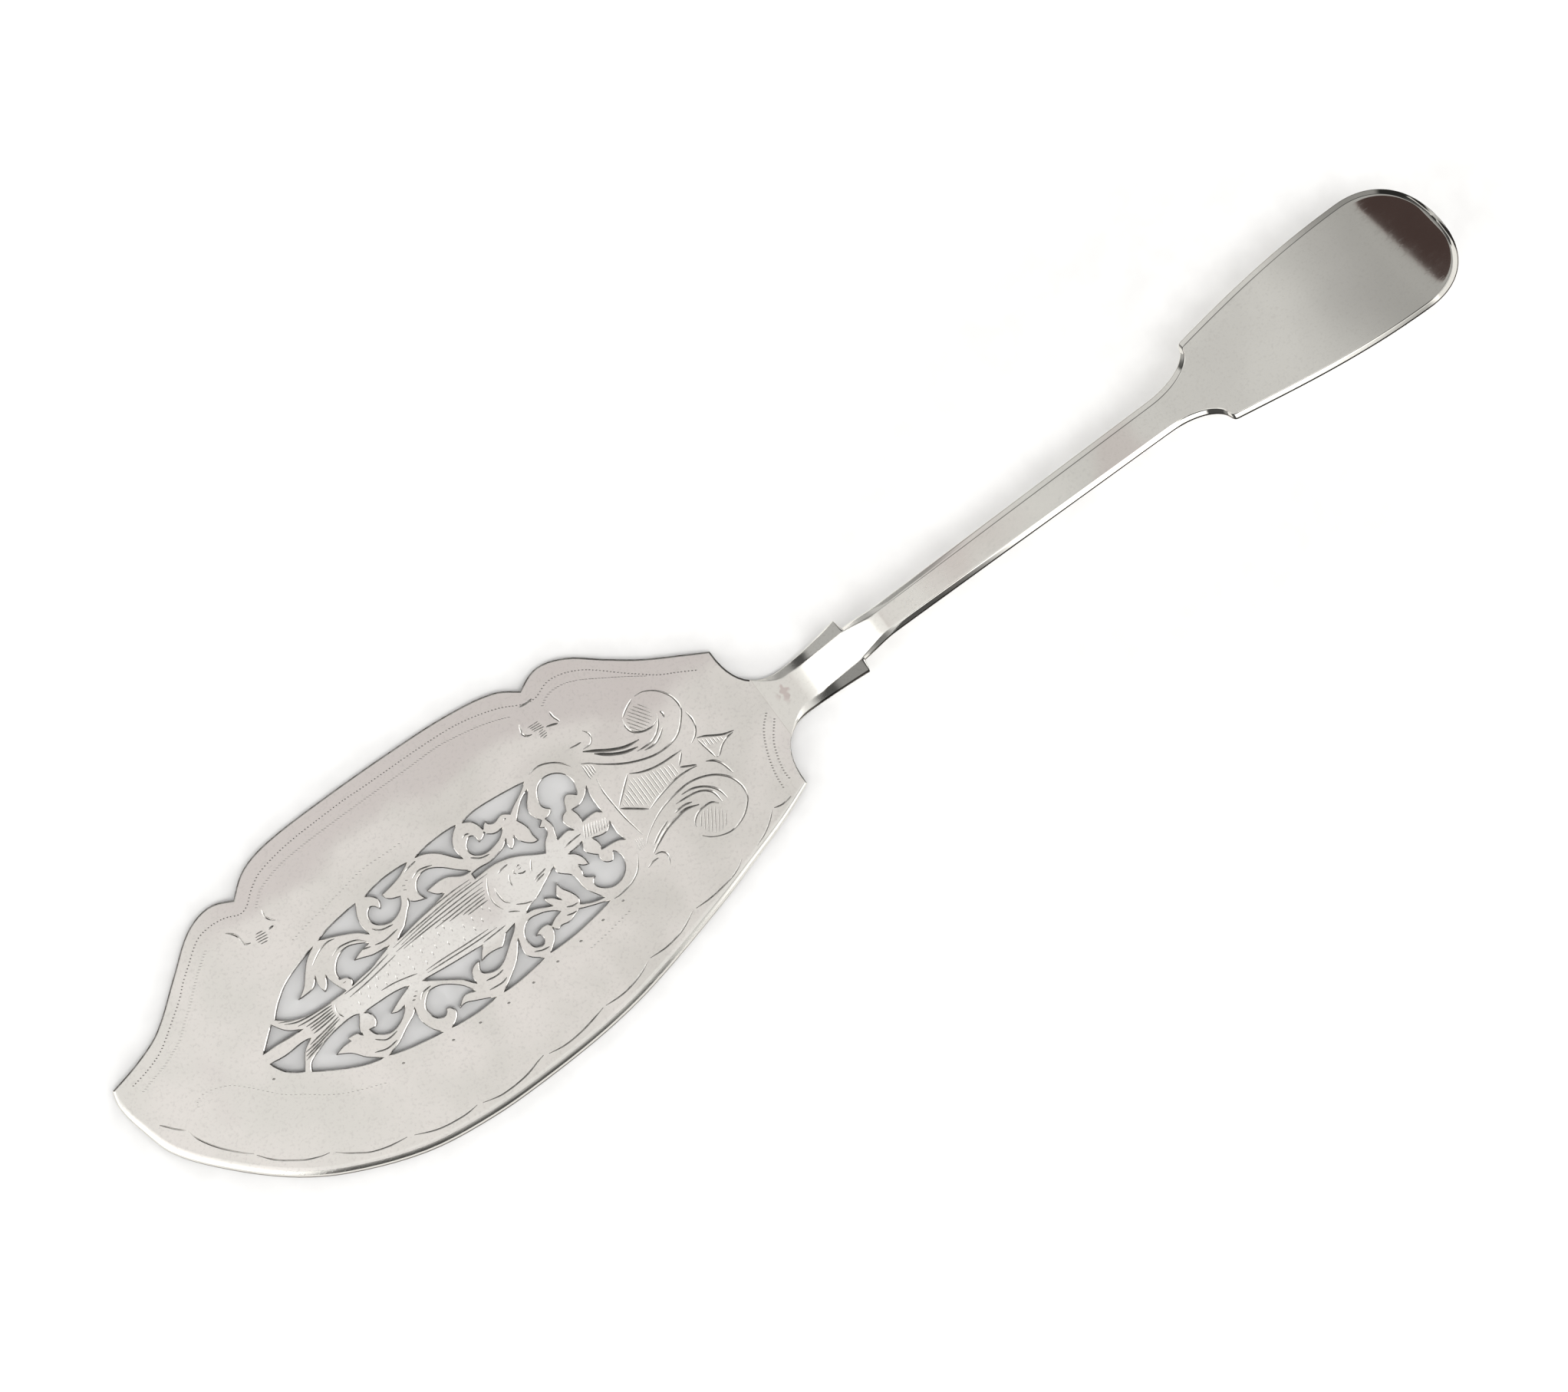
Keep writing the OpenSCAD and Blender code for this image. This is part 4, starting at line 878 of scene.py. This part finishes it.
def handle_silver():
    """Polished silver, with painted sheen that makes it palest at the neck, painted shade that darkens
    the end, and a painted shade line along one side.
    """
    material, tree, shader, place = new_material("polished_silver")
    wear = used(tree, WEAR, place)
    along, across, _ = add(tree, "SeparateXYZ", {0: place})
    cloud = ramp(tree, wear["Clouds"], 0.3, 0.7)
    tone_and_sheen = blend(tree, cloud, (0.785, 0.765, 0.712, 1), (0.843, 0.823, 0.765, 1))
    # Painted sheen: paler towards the neck, where the gently turning face mirrors a brighter part of the
    # room.
    tone_and_sheen = blend(tree, fade(tree, along, 34, 55, 0.9, 0.0), tone_and_sheen, (0.93, 0.91, 0.85, 1))
    tinted = blend(tree, used(tree, STAIN, place)["Amount"], tone_and_sheen, (0.74, 0.66, 0.62, 1))
    marked = blend(tree, math_of(tree, "MULTIPLY", wear["Specks"], 0.2), tinted, (0.6, 0.57, 0.53, 1))
    # Painted shade: darker towards the upturned end, for the darker room that it mirrors.
    end_painted_dark = blend(tree, fade(tree, along, 123, 146, 0.0, 0.70), marked, (0.16, 0.155, 0.14, 1))
    # Painted shade: a dark line along the widest line on the smooth edge's side, where the edge meets
    # shadow.
    widest = add(tree, "Attribute", attribute_name="widest_line")["Fac"]
    painted_shade_line = ramp(tree, widest, 0.03, 0.25, 0.0, 0.94)
    tree.links.new(blend(tree, painted_shade_line, end_painted_dark, (0.08, 0.07, 0.06, 1)), shader["Base Color"])

    # Roughest at the tongue, smoother towards the end, and smoother still on the facets of neck and stem
    plain = fade(tree, along, 30, 110, 0.28, 0.05)
    plain = math_of(tree, "ADD", plain, fade(tree, along, 8, 14, 0.09, 0.0))
    off_middle = math_of(tree, "ABSOLUTE", across)
    past_edge = math_of(tree, "SUBTRACT", off_middle, fade(tree, along, 26, 34, 3.1 * MM, 1.9 * MM))
    facet = fade(tree, past_edge, 0.0, 0.4, 0.0, 0.22)
    facet = math_of(tree, "MULTIPLY", facet, fade(tree, along, 10, 14))
    facet = math_of(tree, "MULTIPLY", facet, fade(tree, along, 88, 96, 1.0, 0.0))
    plain = math_of(tree, "SUBTRACT", plain, facet)
    worn = math_of(tree, "MULTIPLY", wear["Scratches"], 0.02)
    haze = ramp(tree, wear["Clouds"], 0.3, 0.75, -0.02, 0.03)
    rough = math_of(tree, "ADD", math_of(tree, "ADD", plain, worn), haze)
    tree.links.new(math_of(tree, "MAXIMUM", rough, 0.04), shader["Roughness"])
    tree.links.new(bumped(tree, wear["Scratches"], 0.015), shader["Normal"])
    shader["Metallic"].default_value = 1.0
    return material


def solder_metal():
    material, tree, shader, place = new_material("dressed_solder")
    grain = noise(tree, place, 1500.0, 3.0)
    colour = blend(tree, ramp(tree, grain, 0.3, 0.7), (0.74, 0.71, 0.65, 1), (0.84, 0.81, 0.75, 1))
    tree.links.new(colour, shader["Base Color"])
    tree.links.new(ramp(tree, grain, 0.3, 0.7, 0.3, 0.42), shader["Roughness"])
    shader["Metallic"].default_value = 1.0
    return material


def pale_paper():
    material, tree, shader, place = new_material("pale_backdrop")
    grain = noise(tree, place, 160.0, 4.0)
    colour = blend(tree, ramp(tree, grain, 0.3, 0.7), (0.587, 0.582, 0.573, 1), (0.618, 0.613, 0.604, 1))
    tree.links.new(colour, shader["Base Color"])
    tree.links.new(ramp(tree, grain, 0.3, 0.7, 0.7, 0.8), shader["Roughness"])
    return material


# Build the pieces

def smooth_by_angle(mesh, degrees):
    """Shades curved faces smoothly up to an angle between them, and leaves level faces flat."""
    mesh.set_sharp_from_angle(angle=math.radians(degrees))
    for face in mesh.polygons:
        face.use_smooth = abs(face.normal.z) < 0.999


# The blade's materials, in their order on it, and the half widths of its rubbed rims
SATIN, FILED, SAWN, RIM, CUT = range(5)
OUTER_RIM, INNER_RIM = 0.35, 0.19


def finish_faces(mesh, index, level):
    """Gives one finish to the still satin faces whose normal rises less than a limit."""
    for face in mesh.polygons:
        if face.material_index == SATIN and abs(face.normal.z) < level:
            face.material_index = index


blade = placed("pierced_blade", merged_copy("blade"))
# The rims' finish is painted shade: their lower part is nearly black, for the dark line round the outline
# and the piercings.
rim_painted_shade = cut_silver("rims_painted_shade", 1.29, 1.33, 1.0)
cut_finish = cut_silver("engraved_cuts", 1.24, 1.38, 0.5)
for finish in (satin_silver(), filed_silver(), sawn_silver_painted_shade(), rim_painted_shade, cut_finish):
    blade.data.materials.append(finish)
finish_faces(blade.data, SAWN, 0.1)
finish_faces(blade.data, FILED, 0.99)
carve(blade, rim_cutter(blade.data, OUTER_RIM, INNER_RIM))
finish_faces(blade.data, RIM, 0.9)
engrave(blade, blade_engraving())
finish_faces(blade.data, CUT, 0.9)
drop_chips(blade.data)
smooth_by_angle(blade.data, 20)
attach(blade, "root")
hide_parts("blade")

handle = placed("fiddle_handle", handle_mesh())
handle.data.materials.append(handle_silver())
rounding = handle.modifiers.new("rounding", "SUBSURF")
rounding.levels = rounding.render_levels = 2
carve(handle, tongue_cutter())
smooth_by_angle(handle.data, 40)
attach(handle, "root")
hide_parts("handle")

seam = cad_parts["solder_seam"]
seam.material_slots[0].link = "OBJECT"
seam.material_slots[0].material = solder_metal()

# Floor, light and camera

# The floor's reach each way in metres, and a hair's gap below the slice
FLOOR_REACH, FLOOR_GAP = 2.0, 0.05

bm = bmesh.new()
bmesh.ops.create_grid(bm, x_segments=1, y_segments=1, size=FLOOR_REACH)
floor_mesh = bpy.data.meshes.new("backdrop")
bm.to_mesh(floor_mesh)
bm.free()
floor = placed("backdrop", floor_mesh)
floor.location.z = -FLOOR_GAP * MM
floor_mesh.materials.append(pale_paper())

# Light panels that the metal mirrors: bearing from +X and half width in degrees; foot, top and top's
# fade as sines of elevation; strength
LIGHT_PANELS = (
    (-44, 35, 0.37, 0.60, 0.04, 2.2),
    (178, 24, 0.30, 0.78, 0.18, 1.6),
    (176, 9, 0.20, 0.38, 0.04, 1.2),
    (-50, 28, 0.62, 0.84, 0.04, 1.7),
    (-158, 20, 0.55, 0.82, 0.04, 1.7),
    (110, 50, -0.10, 0.34, 0.08, 0.16),
    (78, 26, 0.32, 0.62, 0.06, 0.65),
    (8, 18, 0.44, 0.62, 0.04, 1.5),
    (-88, 14, 0.51, 0.60, 0.03, 1.8),
)


def panel_light(tree, level, rise, panel):
    """One soft-edged panel's light, by a direction's level part and the sine of its elevation."""
    bearing, half_width, foot, top, top_fade, strength = panel
    foot_fade = 0.04
    turn = math.radians(bearing)
    facing = add(tree, "VectorMath", {0: level, 1: (math.cos(turn), math.sin(turn), 0.0)},
                 operation="DOT_PRODUCT")["Value"]
    edge, full = (math.cos(math.radians(half_width * share)) for share in (1.12, 0.88))
    light = ramp(tree, facing, edge, full, 0.0, strength)
    light = math_of(tree, "MULTIPLY", light, ramp(tree, rise, foot - foot_fade, foot + foot_fade))
    return math_of(tree, "MULTIPLY", light, ramp(tree, rise, top - top_fade, top + top_fade, 1.0, 0.0))


def room_light(tree, place):
    """Grey light from above, less of it towards either end of the slice, and a low glow round about."""
    light = ramp(tree, place["Z"], 0.76, 0.95, 0.09, 1.035)
    light = math_of(tree, "ADD", light, ramp(tree, place["Z"], 0.20, 0.34, 0.22, 0.0))
    light = math_of(tree, "MULTIPLY", light, ramp(tree, place["X"], 0.05, 0.2, 1.0, 0.67))
    return math_of(tree, "MULTIPLY", light, ramp(tree, place["X"], -0.25, -0.16, 0.9, 1.0))


def dark_patch(tree, place):
    """A small dark patch overhead, which the fiddle's upturned end mirrors."""
    near = ramp(tree, place["X"], -0.12, -0.07)
    far = ramp(tree, place["X"], 0.022, 0.03, 1.0, 0.0)
    off_middle = math_of(tree, "ABSOLUTE", math_of(tree, "SUBTRACT", place["Y"], 0.07))
    patch = math_of(tree, "MULTIPLY", near, far)
    return math_of(tree, "MULTIPLY", patch, ramp(tree, off_middle, 0.12, 0.2, 1.0, 0.0))


def studio_light():
    """The room that the metal mirrors. Seen past the floor's edge, it is plain and pale."""
    world = bpy.data.worlds.new("studio")
    scene.world = world
    world.use_nodes = True
    tree = world.node_tree
    way = add(tree, "TexCoord")["Generated"]
    place = add(tree, "SeparateXYZ", {0: way})
    level = add(tree, "VectorMath", {0: way, 1: (1.0, 1.0, 0.0)}, operation="MULTIPLY")["Vector"]
    level = add(tree, "VectorMath", {0: level}, operation="NORMALIZE")["Vector"]
    patch = dark_patch(tree, place)
    light = math_of(tree, "MULTIPLY", room_light(tree, place), ramp(tree, patch, 0.0, 1.0, 1.0, 0.15))
    for panel in LIGHT_PANELS:
        light = math_of(tree, "ADD", light, panel_light(tree, level, place["Z"], panel))
    pale_wall = math_of(tree, "MULTIPLY", add(tree, "LightPath")["Is Camera Ray"], 0.9)
    sky = tree.nodes["Background"].inputs
    tree.links.new(math_of(tree, "MAXIMUM", light, pale_wall), sky["Strength"])
    tree.links.new(blend(tree, patch, (1.0, 1.0, 1.0, 1), (1.0, 0.68, 0.63, 1)), sky["Color"])


LAMP_DISTANCE = 3.0


def soft_box(name, bearing, rise, size, power):
    """A round light some metres off, which falls on the floor and which the metal doesn't mirror."""
    light = bpy.data.lights.new(name, "AREA")
    light.shape = "DISK"
    light.size = size
    light.energy = power
    box = bpy.data.objects.new(name, light)
    scene.collection.objects.link(box)
    box.visible_camera = box.visible_glossy = False
    turn, rise = math.radians(bearing), math.radians(rise)
    way = Vector((math.cos(rise) * math.cos(turn), math.cos(rise) * math.sin(turn), math.sin(rise)))
    aimed = way.to_track_quat("Z", "Y").to_matrix().to_4x4()
    box.matrix_world = Matrix.Translation(LAMP_DISTANCE * way) @ aimed


studio_light()
soft_box("overhead_box", -85, 65, 1.8, 39.5)
for i in range(8):
    soft_box(f"low_box_{i}", 45 * i, 12, 0.9, 41.5)

# The camera looks almost straight down; the picture's width and focal length are in its own pixels
PICTURE_W, FOCAL_LENGTH, SENSOR_W = 2044, 3405, 36.0
CAMERA_TILT, CAMERA_DISTANCE = math.radians(5), 500
AIM = Vector((6.455, 0.46, 0)) * MM

lens = bpy.data.cameras.new("camera")
lens.sensor_width = SENSOR_W
lens.lens = SENSOR_W * FOCAL_LENGTH / PICTURE_W
lens.clip_start, lens.clip_end = 0.01, 20.0
camera = bpy.data.objects.new("camera", lens)
scene.collection.objects.link(camera)
back = Vector((0, 0, math.cos(CAMERA_TILT))) - UPWARD * math.sin(CAMERA_TILT)
turned = Matrix((RIGHT, back.cross(RIGHT), back)).transposed().to_4x4()
camera.matrix_world = Matrix.Translation(AIM + back * CAMERA_DISTANCE * MM) @ turned
scene.camera = camera
scene.view_settings.view_transform = "Standard"
